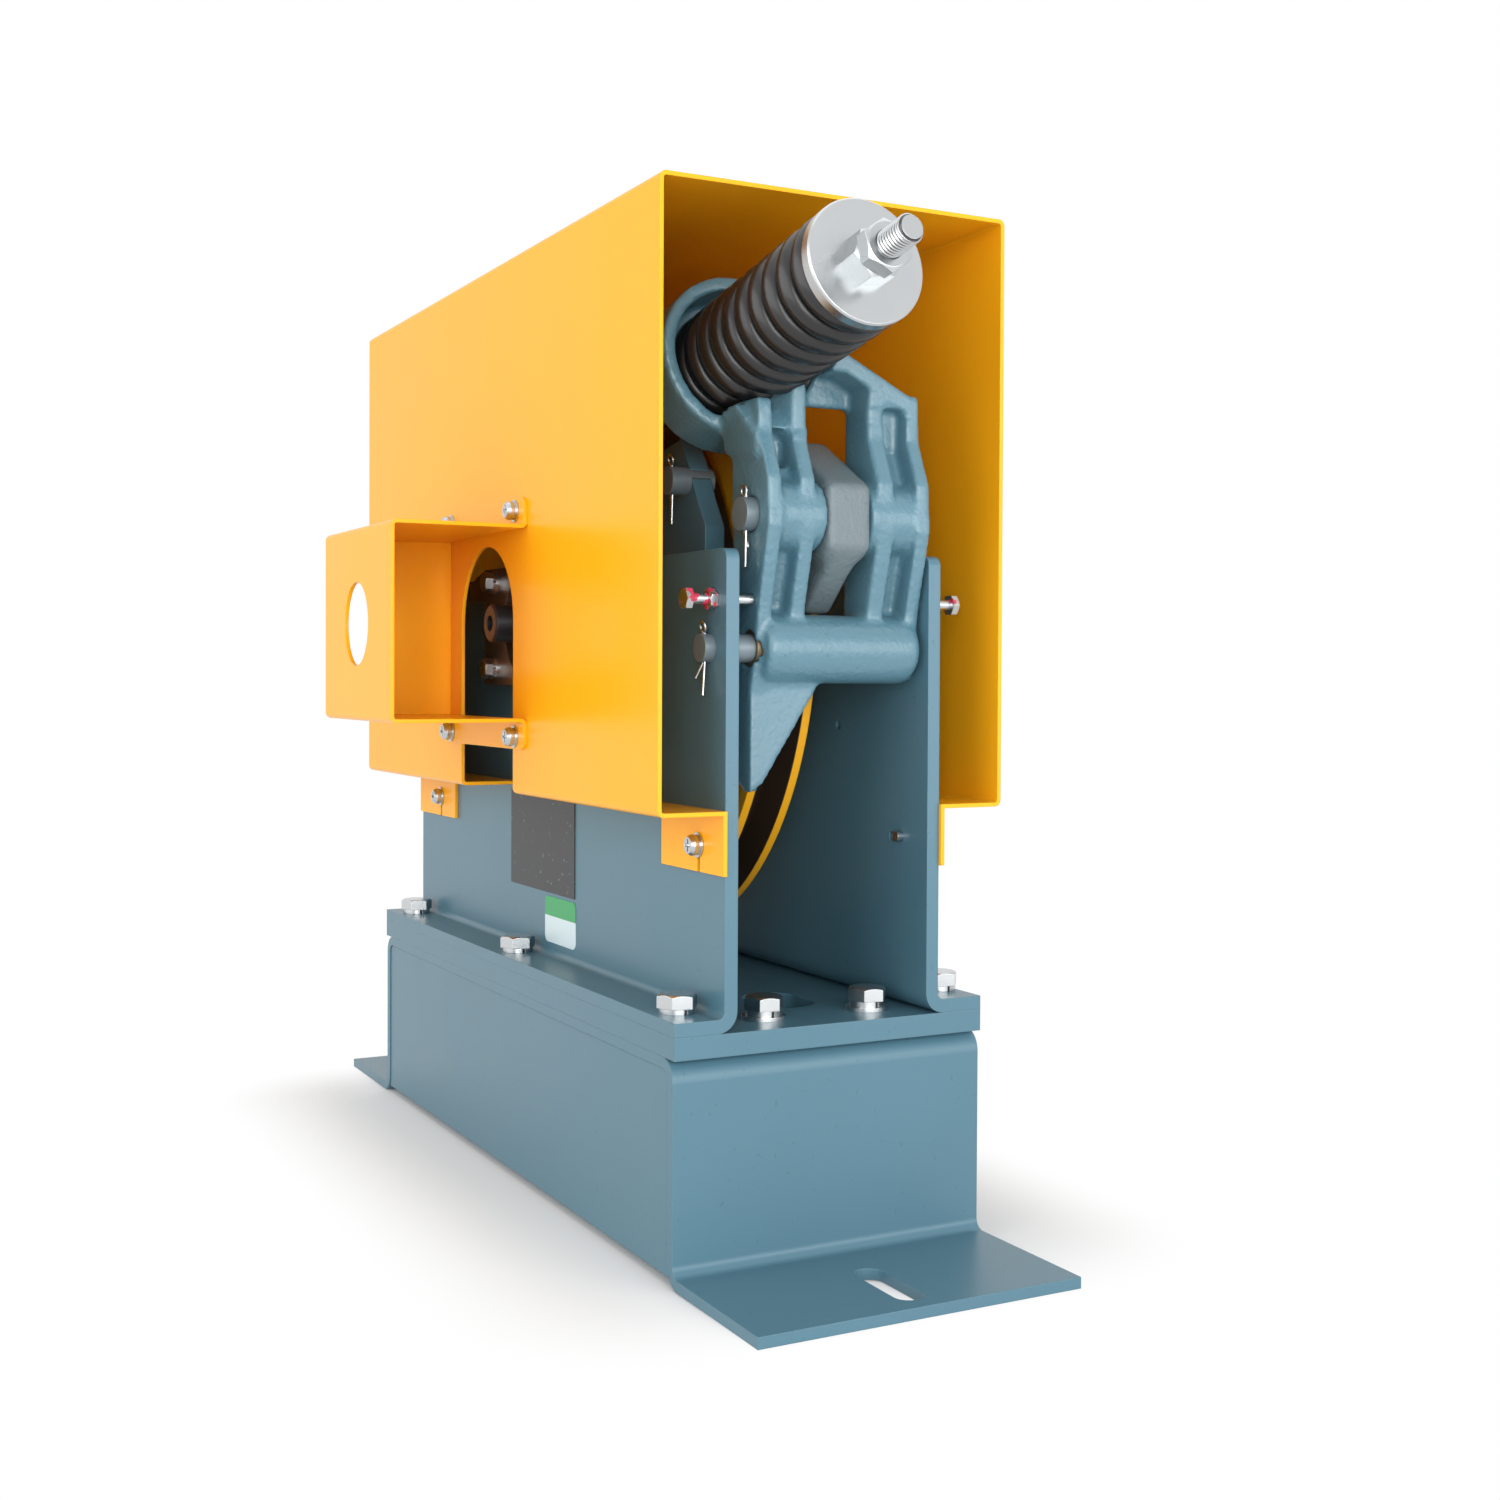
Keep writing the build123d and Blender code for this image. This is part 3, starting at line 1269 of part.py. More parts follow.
# Clamp shoe on its pin: narrow body, wide hub and nose, jaw for the rope groove
shoe_front_x = shoe_pin_x + shoe_reach
shoe_rear_x = shoe_pin_x - shoe_back - shoe_jaw_end * 2
shoe_top_z = shoe_pin_z + shoe_rise
shoe_foot_z = shoe_pin_z - shoe_drop
shoe_nose = [
    (shoe_front_x, shoe_pin_z - shoe_facet),
    (shoe_front_x, shoe_pin_z + shoe_brow),
    (shoe_pin_x - shoe_back + shoe_top_flat, shoe_top_z),
    (shoe_rear_x, shoe_top_z),
]
with BuildPart() as clamp_shoe:
    with BuildSketch(across(rope_plane_y + shoe_width / 2)) as body:
        with BuildLine():
            Polyline(
                *shoe_nose,
                (shoe_rear_x, shoe_foot_z),
                (shoe_pin_x - shoe_back + shoe_foot_flat, shoe_foot_z),
                close=True,
            )
        make_face()
        with Locations(shaft_point):
            Circle(shoe_body_radius, mode=Mode.SUBTRACT)
    extrude(body.sketch, amount=shoe_width)
    with BuildSketch(across(rope_plane_y + shoe_hub_half)) as hub:
        with BuildLine():
            Polyline(
                *shoe_nose,
                (shoe_rear_x, shoe_pin_z),
                (shoe_pin_x - shoe_facet, shoe_pin_z - shoe_facet),
                (shoe_pin_x, shoe_pin_z - shoe_chin),
                (shoe_front_x - shoe_facet / 2, shoe_pin_z - shoe_chin),
                close=True,
            )
        make_face()
        with Locations(shaft_point):
            Circle(shoe_body_radius, mode=Mode.SUBTRACT)
    extrude(hub.sketch, amount=2 * shoe_hub_half)
    with BuildSketch(across(rope_plane_y + shoe_jaw_width / 2)) as jaw:
        with Locations(shaft_point):
            Circle(shoe_body_radius + shoe_jaw_bite)
            Circle(shoe_jaw_radius, mode=Mode.SUBTRACT)
        with Locations((shoe_body_radius, (shoe_top_z + shoe_foot_z) / 2)):
            Rectangle(sheave_radius / 2, shoe_top_z - shoe_foot_z - 2 * shoe_jaw_end, mode=Mode.INTERSECT)
    extrude(jaw.sketch, amount=shoe_jaw_width)
    with BuildSketch(across(rope_plane_y + shoe_hub_half)) as bore:
        with Locations(shoe_point):
            Circle(shoe_pin_radius + fit_gap)
    extrude(bore.sketch, amount=2 * shoe_hub_half, mode=Mode.SUBTRACT)
pieces["clamp_shoe"] = clamp_shoe
with BuildPart() as shoe_pin:
    head = side_plane(1, shoe_pin_x, arm_right_y, shoe_pin_z)
    disc(head, shoe_pin_head_radius, shoe_pin_head)
    disc(head, shoe_pin_radius, -(arm_width + shoe_pin_proud))
    with Locations((shoe_pin_x, arm_left_y - split_pin_out, shoe_pin_z)):
        Cylinder(split_pin_radius + fit_gap, 4 * shoe_pin_radius, mode=Mode.SUBTRACT)
pieces["shoe_pin"] = shoe_pin
with BuildPart() as shoe_split_pin:
    split_pin(shoe_pin_x, arm_left_y - split_pin_out, shoe_pin_z, shoe_pin_radius)
pieces["shoe_split_pin"] = shoe_split_pin

# Screws that guide the arm sideways, with their lock nuts
with BuildPart() as adjusting_screws:
    for side, tip_y in ((-1, -arm_left_y + tip_gap), (1, arm_right_y + tip_gap)):
        head = side_plane(side, adjuster_x, plate_outer_y + adjuster_out, adjuster_z)
        hex_head(head, m4[1], m4[2])
        disc(head, m4[0], -(plate_outer_y + adjuster_out - tip_y))
pieces["adjusting_screws"] = adjusting_screws
with BuildPart() as adjusting_nuts:
    for side in (-1, 1):
        nut_face = side_plane(side, adjuster_x, plate_outer_y, adjuster_z)
        hex_head(nut_face, m4[1], m4_nut_height, head_turn, m4[0] + fit_gap)
pieces["adjusting_nuts"] = adjusting_nuts

# Cover: hood with an open front, turned-in bottom edges and slotted tabs
cover_length = cover_front_x - cover_rear_x
strip_edge_y = plate_outer_y
with BuildPart() as cover:
    with BuildSketch(Plane.YZ.offset(cover_rear_x)):
        with Locations((0, (cover_bottom + cover_top) / 2)):
            Rectangle(2 * cover_half_width, cover_top - cover_bottom)
    extrude(amount=cover_length)
    long_edges = cover.edges().filter_by(Axis.X)
    fillet(long_edges, cover_bend)
    with BuildSketch(Plane.YZ.offset(cover_rear_x + cover_sheet)):
        with Locations((0, (cover_bottom + cover_top) / 2)):
            Rectangle(2 * (cover_half_width - cover_sheet), cover_top - cover_bottom - 2 * cover_sheet)
        fillet(vertices(), cover_bend - cover_sheet)
    extrude(amount=cover_length, mode=Mode.SUBTRACT)
    with BuildSketch(level_plane(cover_bottom)):
        Rectangle(2 * cover_length, 2 * strip_edge_y)
    extrude(amount=cover_sheet, mode=Mode.SUBTRACT)
    for side in (-1, 1):
        for low_x, high_x in (front_tab, rear_tab):
            with BuildSketch(side_plane(side, 0, strip_edge_y, 0)) as tab:
                with Locations(((low_x + high_x) / 2, side * -(cover_bottom + cover_sheet - tab_drop / 2))):
                    Rectangle(high_x - low_x, tab_drop)
            extrude(tab.sketch, amount=cover_sheet)
        for x in cover_screw_xs:
            slot_drop = cover_screw_z - (cover_bottom + cover_sheet - tab_drop)
            with BuildSketch(side_plane(side, 0, strip_edge_y, 0)) as slot:
                with Locations((x, side * -cover_screw_z)):
                    Circle(screw_slot / 2)
                with Locations((x, side * -(cover_screw_z - slot_drop / 2))):
                    Rectangle(slot_width, slot_drop + 1)
            extrude(slot.sketch, amount=cover_sheet, mode=Mode.SUBTRACT)
    with BuildSketch(across(-cover_half_width + 2 * cover_sheet)) as window:
        with Locations(shaft_point):
            Circle(window_radius)
        with Locations((0, (cover_bottom - cover_bend + shaft_height) / 2)):
            Rectangle(2 * window_radius, shaft_height - cover_bottom + cover_bend)
    extrude(window.sketch, amount=3 * cover_sheet, mode=Mode.SUBTRACT)
    with BuildSketch(level_plane(cover_bottom)) as window_foot:
        with Locations((0, -(cover_half_width + strip_edge_y) / 2)):
            Rectangle(2 * window_radius, cover_half_width - strip_edge_y)
    extrude(window_foot.sketch, amount=cover_sheet, mode=Mode.SUBTRACT)
    with BuildSketch(across(-cover_half_width + 2 * cover_sheet)) as screw_holes:
        for x in guard_screw_xs:
            for dz in (-1, 1):
                with Locations((x, guard_middle_z + dz * (guard_half_height + guard_screw_offset))):
                    Circle(m4[0] + fit_gap)
    extrude(screw_holes.sketch, amount=3 * cover_sheet, mode=Mode.SUBTRACT)
pieces["cover"] = cover


def pan_screw(plane, size, length):
    """Cross-recessed pan head screw with its washers held on."""
    head_plane = plane.offset(washer_stack(size))
    with BuildSketch(head_plane.offset(pan_head_height)) as cross:
        Rectangle(cross_length, cross_width)
        Rectangle(cross_width, cross_length)
    disc(plane, size[3], size[4])
    disc(plane.offset(size[4]), size[5], size[6])
    disc(head_plane, pan_head_radius, pan_head_height - pan_head_round)
    with BuildSketch(head_plane.offset(pan_head_height - pan_head_round)) as dome:
        Circle(pan_head_radius)
    extrude(dome.sketch, amount=pan_head_round, taper=crown_slope / 2)
    extrude(cross.sketch, amount=-cross_depth, mode=Mode.SUBTRACT)
    disc(head_plane, size[0], -(length + washer_stack(size)))


with BuildPart() as cover_screws:
    for side in (-1, 1):
        for x in cover_screw_xs:
            seat = side_plane(side, x, plate_outer_y + cover_sheet, cover_screw_z)
            pan_screw(seat, m4, cover_screw_length)
pieces["cover_screws"] = cover_screws

# Guard box over the shaft end, bent from one sheet, with a flange along the top and the bottom
guard_face_y = -cover_half_width
guard_out_y = guard_face_y - guard_depth
with BuildPart() as guard:
    with BuildSketch(Plane.YZ.offset(-guard_half_length)) as box:
        with Locations(((guard_face_y + guard_out_y) / 2, guard_middle_z)):
            Rectangle(guard_depth, 2 * guard_half_height)
        with Locations((guard_face_y - cover_sheet / 2, guard_middle_z)):
            Rectangle(cover_sheet, 2 * (guard_half_height + guard_flange))
    extrude(amount=2 * guard_half_length)
    outer_bends = guard.edges().filter_by(Axis.X).group_by(Axis.Y)[0]
    fillet(outer_bends, guard_bend)
    with BuildSketch(Plane.YZ.offset(-guard_half_length + cover_sheet)) as inside:
        with Locations(((guard_face_y + guard_out_y + cover_sheet) / 2, guard_middle_z)):
            Rectangle(guard_depth - cover_sheet, 2 * (guard_half_height - cover_sheet))
    extrude(inside.sketch, amount=2 * guard_half_length, mode=Mode.SUBTRACT)
    hollow = guard.edges().filter_by(Axis.X)
    inner_bends = hollow.filter_by(lambda e: abs(e.center().Y - guard_out_y - cover_sheet) < fit_gap)
    fillet(inner_bends, guard_bend - cover_sheet)
    flange_bends = guard.edges().filter_by(Axis.X).filter_by(
        lambda e: abs(e.center().Y - guard_face_y + cover_sheet) < fit_gap
        and abs(abs(e.center().Z - guard_middle_z) - guard_half_height) < fit_gap
    )
    fillet(flange_bends, guard_bend - cover_sheet)
    wall_bends = guard.edges().filter_by(Axis.X).filter_by(
        lambda e: abs(e.center().Y - guard_face_y) < fit_gap
        and abs(abs(e.center().Z - guard_middle_z) - guard_half_height + cover_sheet) < fit_gap
    )
    fillet(wall_bends, guard_bend)
    flange_corners = guard.edges().filter_by(Axis.Y).filter_by(
        lambda e: abs(abs(e.center().Z - guard_middle_z) - guard_half_height - guard_flange) < fit_gap
    )
    fillet(flange_corners, guard_corner)
    with BuildSketch(across(guard_face_y)) as screw_holes:
        for x in guard_screw_xs:
            for dz in (-1, 1):
                with Locations((x, guard_middle_z + dz * (guard_half_height + guard_screw_offset))):
                    Circle(m4[0] + hole_gap)
    extrude(screw_holes.sketch, amount=cover_sheet, mode=Mode.SUBTRACT)
    with BuildSketch(across(guard_out_y)) as hole:
        with Locations((0, guard_middle_z)):
            Circle(guard_hole_radius)
    extrude(hole.sketch, amount=-2 * cover_sheet, mode=Mode.SUBTRACT)
    with BuildSketch(Plane.YZ.offset(-guard_half_length)) as outlet:
        with Locations(((guard_outlet[0] + guard_outlet[1]) / 2, guard_middle_z)):
            Rectangle(guard_outlet[1] - guard_outlet[0], 2 * guard_outlet_half)
    extrude(outlet.sketch, amount=cover_sheet, mode=Mode.SUBTRACT)
pieces["guard"] = guard
guard_planes = []
for x in guard_screw_xs:
    for dz in (-1, 1):
        z = guard_middle_z + dz * (guard_half_height + guard_screw_offset)
        guard_planes.append(side_plane(-1, x, cover_half_width + cover_sheet, z))
with BuildPart() as guard_screws:
    for plane in guard_planes:
        pan_screw(plane, m4, guard_screw_length)
pieces["guard_screws"] = guard_screws
with BuildPart() as guard_nuts:
    for plane in guard_planes:
        inner = plane.offset(-(2 * cover_sheet + m4_nut_height))
        hexagon(inner, m4[1], m4_nut_height, m4[0] + fit_gap)
pieces["guard_nuts"] = guard_nuts

# Bare nameplate and sticker on the left side plate
with BuildPart() as nameplate:
    with BuildSketch(across(-plate_outer_y)):
        low_z = base_plate_top + nameplate_above_base
        with Locations((nameplate_x + nameplate_size[0] / 2, low_z + nameplate_size[1] / 2)):
            Rectangle(*nameplate_size)
    extrude(amount=label_sheet)
pieces["nameplate"] = nameplate
with BuildPart() as inspection_sticker:
    with BuildSketch(across(-plate_outer_y)):
        low_z = base_plate_top + sticker_above_base
        with Locations((sticker_x + sticker_size[0] / 2, low_z + sticker_size[1] / 2)):
            RectangleRounded(*sticker_size, sticker_corner)
    extrude(amount=label_sheet / 2)
pieces["inspection_sticker"] = inspection_sticker

for name, piece in pieces.items():
    piece.part.label = name
    export_step(piece.part, f"parts/{name}.step")
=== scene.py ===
import json
import math

import bmesh
import bpy
from mathutils import Matrix, Vector


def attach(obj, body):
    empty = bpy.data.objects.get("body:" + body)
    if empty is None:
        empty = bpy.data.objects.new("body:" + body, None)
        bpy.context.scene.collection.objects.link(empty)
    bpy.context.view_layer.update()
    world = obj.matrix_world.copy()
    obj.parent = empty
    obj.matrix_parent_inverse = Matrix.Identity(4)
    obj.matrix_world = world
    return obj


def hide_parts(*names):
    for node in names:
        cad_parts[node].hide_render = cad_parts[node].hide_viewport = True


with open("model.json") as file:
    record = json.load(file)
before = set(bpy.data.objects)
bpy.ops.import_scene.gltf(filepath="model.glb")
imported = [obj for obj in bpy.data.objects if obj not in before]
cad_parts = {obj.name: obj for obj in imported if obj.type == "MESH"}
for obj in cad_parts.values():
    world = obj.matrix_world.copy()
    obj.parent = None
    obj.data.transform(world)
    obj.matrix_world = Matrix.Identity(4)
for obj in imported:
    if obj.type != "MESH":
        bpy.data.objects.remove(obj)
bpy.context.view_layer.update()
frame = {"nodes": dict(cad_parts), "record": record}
nodes = frame["nodes"]
slotOf = {row["node"]: row["material_slot"] for row in frame["record"]["subparts"]}
print("frame loaded:", len(nodes), "nodes")


# Materials. The groups hold the shared surface effects.

def newGroup(name, inputs, outputs):
    group = bpy.data.node_groups.new(name, "ShaderNodeTree")
    for label, kind, value in inputs:
        socket = group.interface.new_socket(label, in_out="INPUT", socket_type=kind)
        socket.default_value = value
    for label, kind in outputs:
        group.interface.new_socket(label, in_out="OUTPUT", socket_type=kind)
    return group, group.nodes.new("NodeGroupInput"), group.nodes.new("NodeGroupOutput")


def addNode(tree, kind, inputs=None, **values):
    node = tree.nodes.new(kind)
    for key, value in values.items():
        setattr(node, key, value)
    for key, value in (inputs or {}).items():
        node.inputs[key].default_value = value
    return node


def wire(tree, *links):
    for start, out, end, into in links:
        tree.links.new(start.outputs[out], end.inputs[into])


# bump, rounded edges, and the masks for uneven colour, lightened edges (partly wear, partly a painted
# highlight) and dust
markLook = dict(
    fine={"Detail": 3},
    broad={"Scale": 110, "Detail": 5},
    patches={"Scale": 14, "Detail": 4, "Roughness": 0.6},
    specks={"Scale": 420, "Detail": 2},
    speckRange={"From Min": 0.68, "From Max": 0.74},
    edgeRange={"From Min": 0.995, "From Max": 0.8},
    bevelSamples=5,
)
surfaceGroup, enter, leave = newGroup(
    "surfaceMarks",
    [
        ("Grain", "NodeSocketFloat", 900.0),
        ("Strength", "NodeSocketFloat", 0.3),
        ("Depth", "NodeSocketFloat", 0.0004),
        ("Round", "NodeSocketFloat", 0.001),
    ],
    [
        ("Normal", "NodeSocketVector"),
        ("Mottle", "NodeSocketFloat"),
        ("Edge", "NodeSocketFloat"),
        ("Speck", "NodeSocketFloat"),
    ],
)
place = addNode(surfaceGroup, "ShaderNodeTexCoord")
fine = addNode(surfaceGroup, "ShaderNodeTexNoise", markLook["fine"])
broad = addNode(surfaceGroup, "ShaderNodeTexNoise", markLook["broad"])
patches = addNode(surfaceGroup, "ShaderNodeTexNoise", markLook["patches"])
specks = addNode(surfaceGroup, "ShaderNodeTexNoise", markLook["specks"])
speckMask = addNode(surfaceGroup, "ShaderNodeMapRange", markLook["speckRange"])
height = addNode(surfaceGroup, "ShaderNodeMath", operation="ADD")
edge = addNode(surfaceGroup, "ShaderNodeBevel", samples=markLook["bevelSamples"])
bump = addNode(surfaceGroup, "ShaderNodeBump")
shape = addNode(surfaceGroup, "ShaderNodeNewGeometry")
dot = addNode(surfaceGroup, "ShaderNodeVectorMath", operation="DOT_PRODUCT")
turnOver = addNode(surfaceGroup, "ShaderNodeMapRange", markLook["edgeRange"])
wire(
    surfaceGroup,
    *((place, "Object", texture, "Vector") for texture in (fine, broad, patches, specks)),
    (enter, "Grain", fine, "Scale"),
    (fine, "Fac", height, 0),
    (broad, "Fac", height, 1),
    (height, "Value", bump, "Height"),
    (enter, "Strength", bump, "Strength"),
    (enter, "Depth", bump, "Distance"),
    (enter, "Round", edge, "Radius"),
    (edge, "Normal", bump, "Normal"),
    (edge, "Normal", dot, 0),
    (shape, "Normal", dot, 1),
    (dot, "Value", turnOver, "Value"),
    (specks, "Fac", speckMask, "Value"),
    (bump, "Normal", leave, "Normal"),
    (patches, "Fac", leave, "Mottle"),
    (turnOver, "Result", leave, "Edge"),
    (speckMask, "Result", leave, "Speck"),
)

# 1 on one side of a plane square to an axis of the object, 0 on the other
splitGroup, enter, leave = newGroup(
    "planeSplit",
    [
        ("Along", "NodeSocketVector", (0, 0, 1)),
        ("Level", "NodeSocketFloat", 0.0),
        ("Blur", "NodeSocketFloat", 0.0001),
    ],
    [("Mask", "NodeSocketFloat")],
)
place = addNode(splitGroup, "ShaderNodeTexCoord")
dot = addNode(splitGroup, "ShaderNodeVectorMath", operation="DOT_PRODUCT")
above = addNode(splitGroup, "ShaderNodeMath", operation="SUBTRACT")
blurred = addNode(splitGroup, "ShaderNodeMath", operation="DIVIDE", use_clamp=True)
wire(
    splitGroup,
    (place, "Object", dot, 0),
    (enter, "Along", dot, 1),
    (dot, "Value", above, 0),
    (enter, "Level", above, 1),
    (above, "Value", blurred, 0),
    (enter, "Blur", blurred, 1),
    (blurred, "Value", leave, "Mask"),
)

# distance from an axis of the object
axisGroup, enter, leave = newGroup(
    "axisReach",
    [("Centre", "NodeSocketVector", (0, 0, 0)), ("Axis", "NodeSocketVector", (0, 1, 0))],
    [("Reach", "NodeSocketFloat")],
)
place = addNode(axisGroup, "ShaderNodeTexCoord")
shift = addNode(axisGroup, "ShaderNodeVectorMath", operation="SUBTRACT")
turned = addNode(axisGroup, "ShaderNodeVectorMath", operation="CROSS_PRODUCT")
reach = addNode(axisGroup, "ShaderNodeVectorMath", operation="LENGTH")
wire(
    axisGroup,
    (place, "Object", shift, 0),
    (enter, "Centre", shift, 1),
    (shift, "Vector", turned, 0),
    (enter, "Axis", turned, 1),
    (turned, "Vector", reach, 0),
    (reach, "Value", leave, "Reach"),
)

colourMix = dict(mask=0, first=6, second=7, result=2)  # the colour sockets of a Mix node


def mixColour(tree, first, second, mask):
    mix = addNode(tree, "ShaderNodeMix", data_type="RGBA")
    for label, source in (("first", first), ("second", second)):
        socket = mix.inputs[colourMix[label]]
        if isinstance(source, tuple):
            socket.default_value = (*source, 1)
        else:
            tree.links.new(source, socket)
    tree.links.new(mask, mix.inputs[colourMix["mask"]])
    return mix.outputs[colourMix["result"]]


def coverColour(tree, colour, mask):
    base = tree.nodes["Principled BSDF"].inputs["Base Color"]
    tree.links.new(mixColour(tree, base.links[0].from_socket, colour, mask), base)


def scaled(tree, value, factor):
    times = addNode(tree, "ShaderNodeMath", {1: factor}, operation="MULTIPLY", use_clamp=True)
    tree.links.new(value, times.inputs[0])
    return times.outputs[0]


blue = (0.078, 0.180, 0.238)
yellow = (0.95, 0.42, 0.008)
looks = {
    "blue_paint": dict(
        colour=blue, roughness=0.36, specular=0.4, coat=0.12, coatRoughness=0.2,
        grain=1500, bump=0.12, depth=0.00012, round=0.0006,
        edgeColour=(0.16, 0.30, 0.36), edgeWearAndHighlight=0.5, speckColour=(0.02, 0.04, 0.05), specks=0.2,
    ),
    "blue_casting": dict(
        colour=(0.092, 0.205, 0.262), roughness=0.34, coat=0.35, coatRoughness=0.18,
        grain=560, bump=0.75, depth=0.0005, round=0.001, uneven=0.84,
        speckColour=(0.03, 0.06, 0.075), specks=0.3,
    ),
    "yellow_paint": dict(
        colour=yellow, roughness=0.3, specular=0.18, coat=0.08, coatRoughness=0.12,
        grain=1300, bump=0.1, depth=0.0001, round=0.0006, uneven=0.96,
        edgeColour=(1.0, 0.55, 0.04), edgeWearAndHighlight=0.5,
    ),
    "sheave_paint": dict(
        colour=(0.85, 0.40, 0.01), roughness=0.35, specular=0.35, coat=0.2,
        grain=900, bump=0.2, depth=0.0002, round=0.0006,
    ),
    "zinc": dict(
        colour=(0.58, 0.60, 0.61), roughness=0.27, metallic=1,
        grain=900, bump=0.12, depth=0.00006, round=0.0003,
    ),
    "pin_steel": dict(
        colour=(0.20, 0.25, 0.28), roughness=0.42, metallic=0.35,
        grain=900, bump=0.15, depth=0.0001, round=0.0005, uneven=0.8,
    ),
    "shoe_casting": dict(
        colour=(0.135, 0.180, 0.195), roughness=0.45, coat=0.1,
        grain=620, bump=0.7, depth=0.0005, round=0.001, uneven=0.75,
        speckColour=(0.05, 0.055, 0.055), specks=0.4,
    ),
    "bare_steel": dict(
        colour=(0.38, 0.36, 0.34), roughness=0.38, metallic=1,
        grain=900, bump=0.15, depth=0.0001, round=0.0004, uneven=0.7,
    ),
    "black_oxide": dict(
        colour=(0.05, 0.05, 0.055), roughness=0.35, metallic=0.7,
        grain=900, bump=0.1, round=0.0003,
    ),
    "black_spring": dict(
        colour=(0.008, 0.0077, 0.008), roughness=0.36, coat=0.3, coatRoughness=0.12,
        grain=300, bump=0.2, depth=0.0003, round=0.0003, uneven=0.8,
    ),
    "bronze": dict(
        colour=(0.28, 0.22, 0.14), roughness=0.5, metallic=1,
        grain=900, bump=0.1, round=0.0003,
    ),
    "plate_foil": dict(
        colour=(0.045, 0.048, 0.052), roughness=0.42, metallic=0.2,
        grain=500, bump=0.1, depth=0.0001, round=0.0002, uneven=0.5,
        edgeColour=(0.2, 0.21, 0.22), edgeWearAndHighlight=0.8, speckColour=(0.22, 0.23, 0.24), specks=0.8,
    ),
    "sticker_foil": dict(
        colour=(0.66, 0.80, 0.84), roughness=0.3, grain=900, bump=0.02, round=0.0001,
    ),
}
usual = dict(metallic=0, coat=0, coatRoughness=0.08, specular=0.5, depth=0.0004, uneven=0.88)
roughSpread = (0.85, 1.2)  # the smoothest and the roughest spots of a surface


def paint(name, look):
    look = {**usual, **look}
    material = bpy.data.materials.new(name)
    material.use_nodes = True
    tree = material.node_tree
    shader = tree.nodes["Principled BSDF"]
    shader.inputs["Metallic"].default_value = look["metallic"]
    shader.inputs["Coat Weight"].default_value = look["coat"]
    shader.inputs["Coat Roughness"].default_value = look["coatRoughness"]
    shader.inputs["Specular IOR Level"].default_value = look["specular"]
    grain = {"Grain": look["grain"], "Strength": look["bump"], "Depth": look["depth"], "Round": look["round"]}
    marks = addNode(tree, "ShaderNodeGroup", grain, node_tree=surfaceGroup)
    darker = tuple(part * look["uneven"] for part in look["colour"])
    base = mixColour(tree, darker, look["colour"], marks.outputs["Mottle"])
    # edges are painted lighter: partly paint wear, partly a painted highlight where light catches them
    if "edgeColour" in look:
        edges = scaled(tree, marks.outputs["Edge"], look["edgeWearAndHighlight"])
        base = mixColour(tree, base, look["edgeColour"], edges)
    if "speckColour" in look:
        dust = scaled(tree, marks.outputs["Speck"], look["specks"])
        base = mixColour(tree, base, look["speckColour"], dust)
    tree.links.new(base, shader.inputs["Base Color"])
    low, high = (look["roughness"] * share for share in roughSpread)
    rough = addNode(tree, "ShaderNodeMapRange", {"To Min": low, "To Max": high})
    wire(
        tree,
        (marks, "Mottle", rough, "Value"),
        (rough, "Result", shader, "Roughness"),
        (marks, "Normal", shader, "Normal"),
    )
    return material


materials = {name: paint(name, look) for name, look in looks.items()}

# Paint over a finish. It covers one side of a plane, whole or in dabs, and isn't metal.

sealing = (0.50, 0.035, 0.075)
overpaints = {
    "sticker_print": dict(
        basis="sticker_foil", colour=(0.015, 0.33, 0.09), along=(0, 0, 1), level=0.1082, blur=0.0001,
    ),
    "left_seal": dict(
        basis="zinc", colour=sealing, along=(0, -1, 0), level=0.0445, blur=0.0006,
        dabs=260, bareness=0.50,
    ),
    "sealed_screw": dict(
        basis="left_seal", colour=sealing, along=(0, 1, 0), level=0.052, blur=0.0001,
        dabs=300, bareness=0.58,
    ),
}
dabLook = dict(detail=2, rim=0.03)


def dabbed(tree, mask, look):
    place = addNode(tree, "ShaderNodeTexCoord")
    noise = addNode(tree, "ShaderNodeTexNoise", {"Scale": look["dabs"], "Detail": dabLook["detail"]})
    limits = {"From Min": look["bareness"], "From Max": look["bareness"] + dabLook["rim"]}
    dabs = addNode(tree, "ShaderNodeMapRange", limits)
    covered = addNode(tree, "ShaderNodeMath", operation="MULTIPLY")
    wire(
        tree,
        (place, "Object", noise, "Vector"),
        (noise, "Fac", dabs, "Value"),
        (dabs, "Result", covered, 0),
    )
    tree.links.new(mask, covered.inputs[1])
    return covered.outputs[0]


def overpaint(name, look):
    material = materials[look["basis"]].copy()
    material.name = name
    tree = material.node_tree
    plane = {"Along": look["along"], "Level": look["level"], "Blur": look["blur"]}
    mask = addNode(tree, "ShaderNodeGroup", plane, node_tree=splitGroup).outputs["Mask"]
    if "dabs" in look:
        mask = dabbed(tree, mask, look)
    coverColour(tree, look["colour"], mask)
    metallic = tree.nodes["Principled BSDF"].inputs["Metallic"]
    bared = addNode(tree, "ShaderNodeMath", {0: 1.0}, operation="SUBTRACT")
    metal = addNode(tree, "ShaderNodeMath", {1: metallic.default_value}, operation="MULTIPLY")
    tree.links.new(mask, bared.inputs[1])
    if metallic.links:
        tree.links.new(metallic.links[0].from_socket, metal.inputs[1])
    wire(tree, (bared, "Value", metal, 0))
    tree.links.new(metal.outputs[0], metallic)
    return material


for name, look in overpaints.items():
    materials[name] = overpaint(name, look)
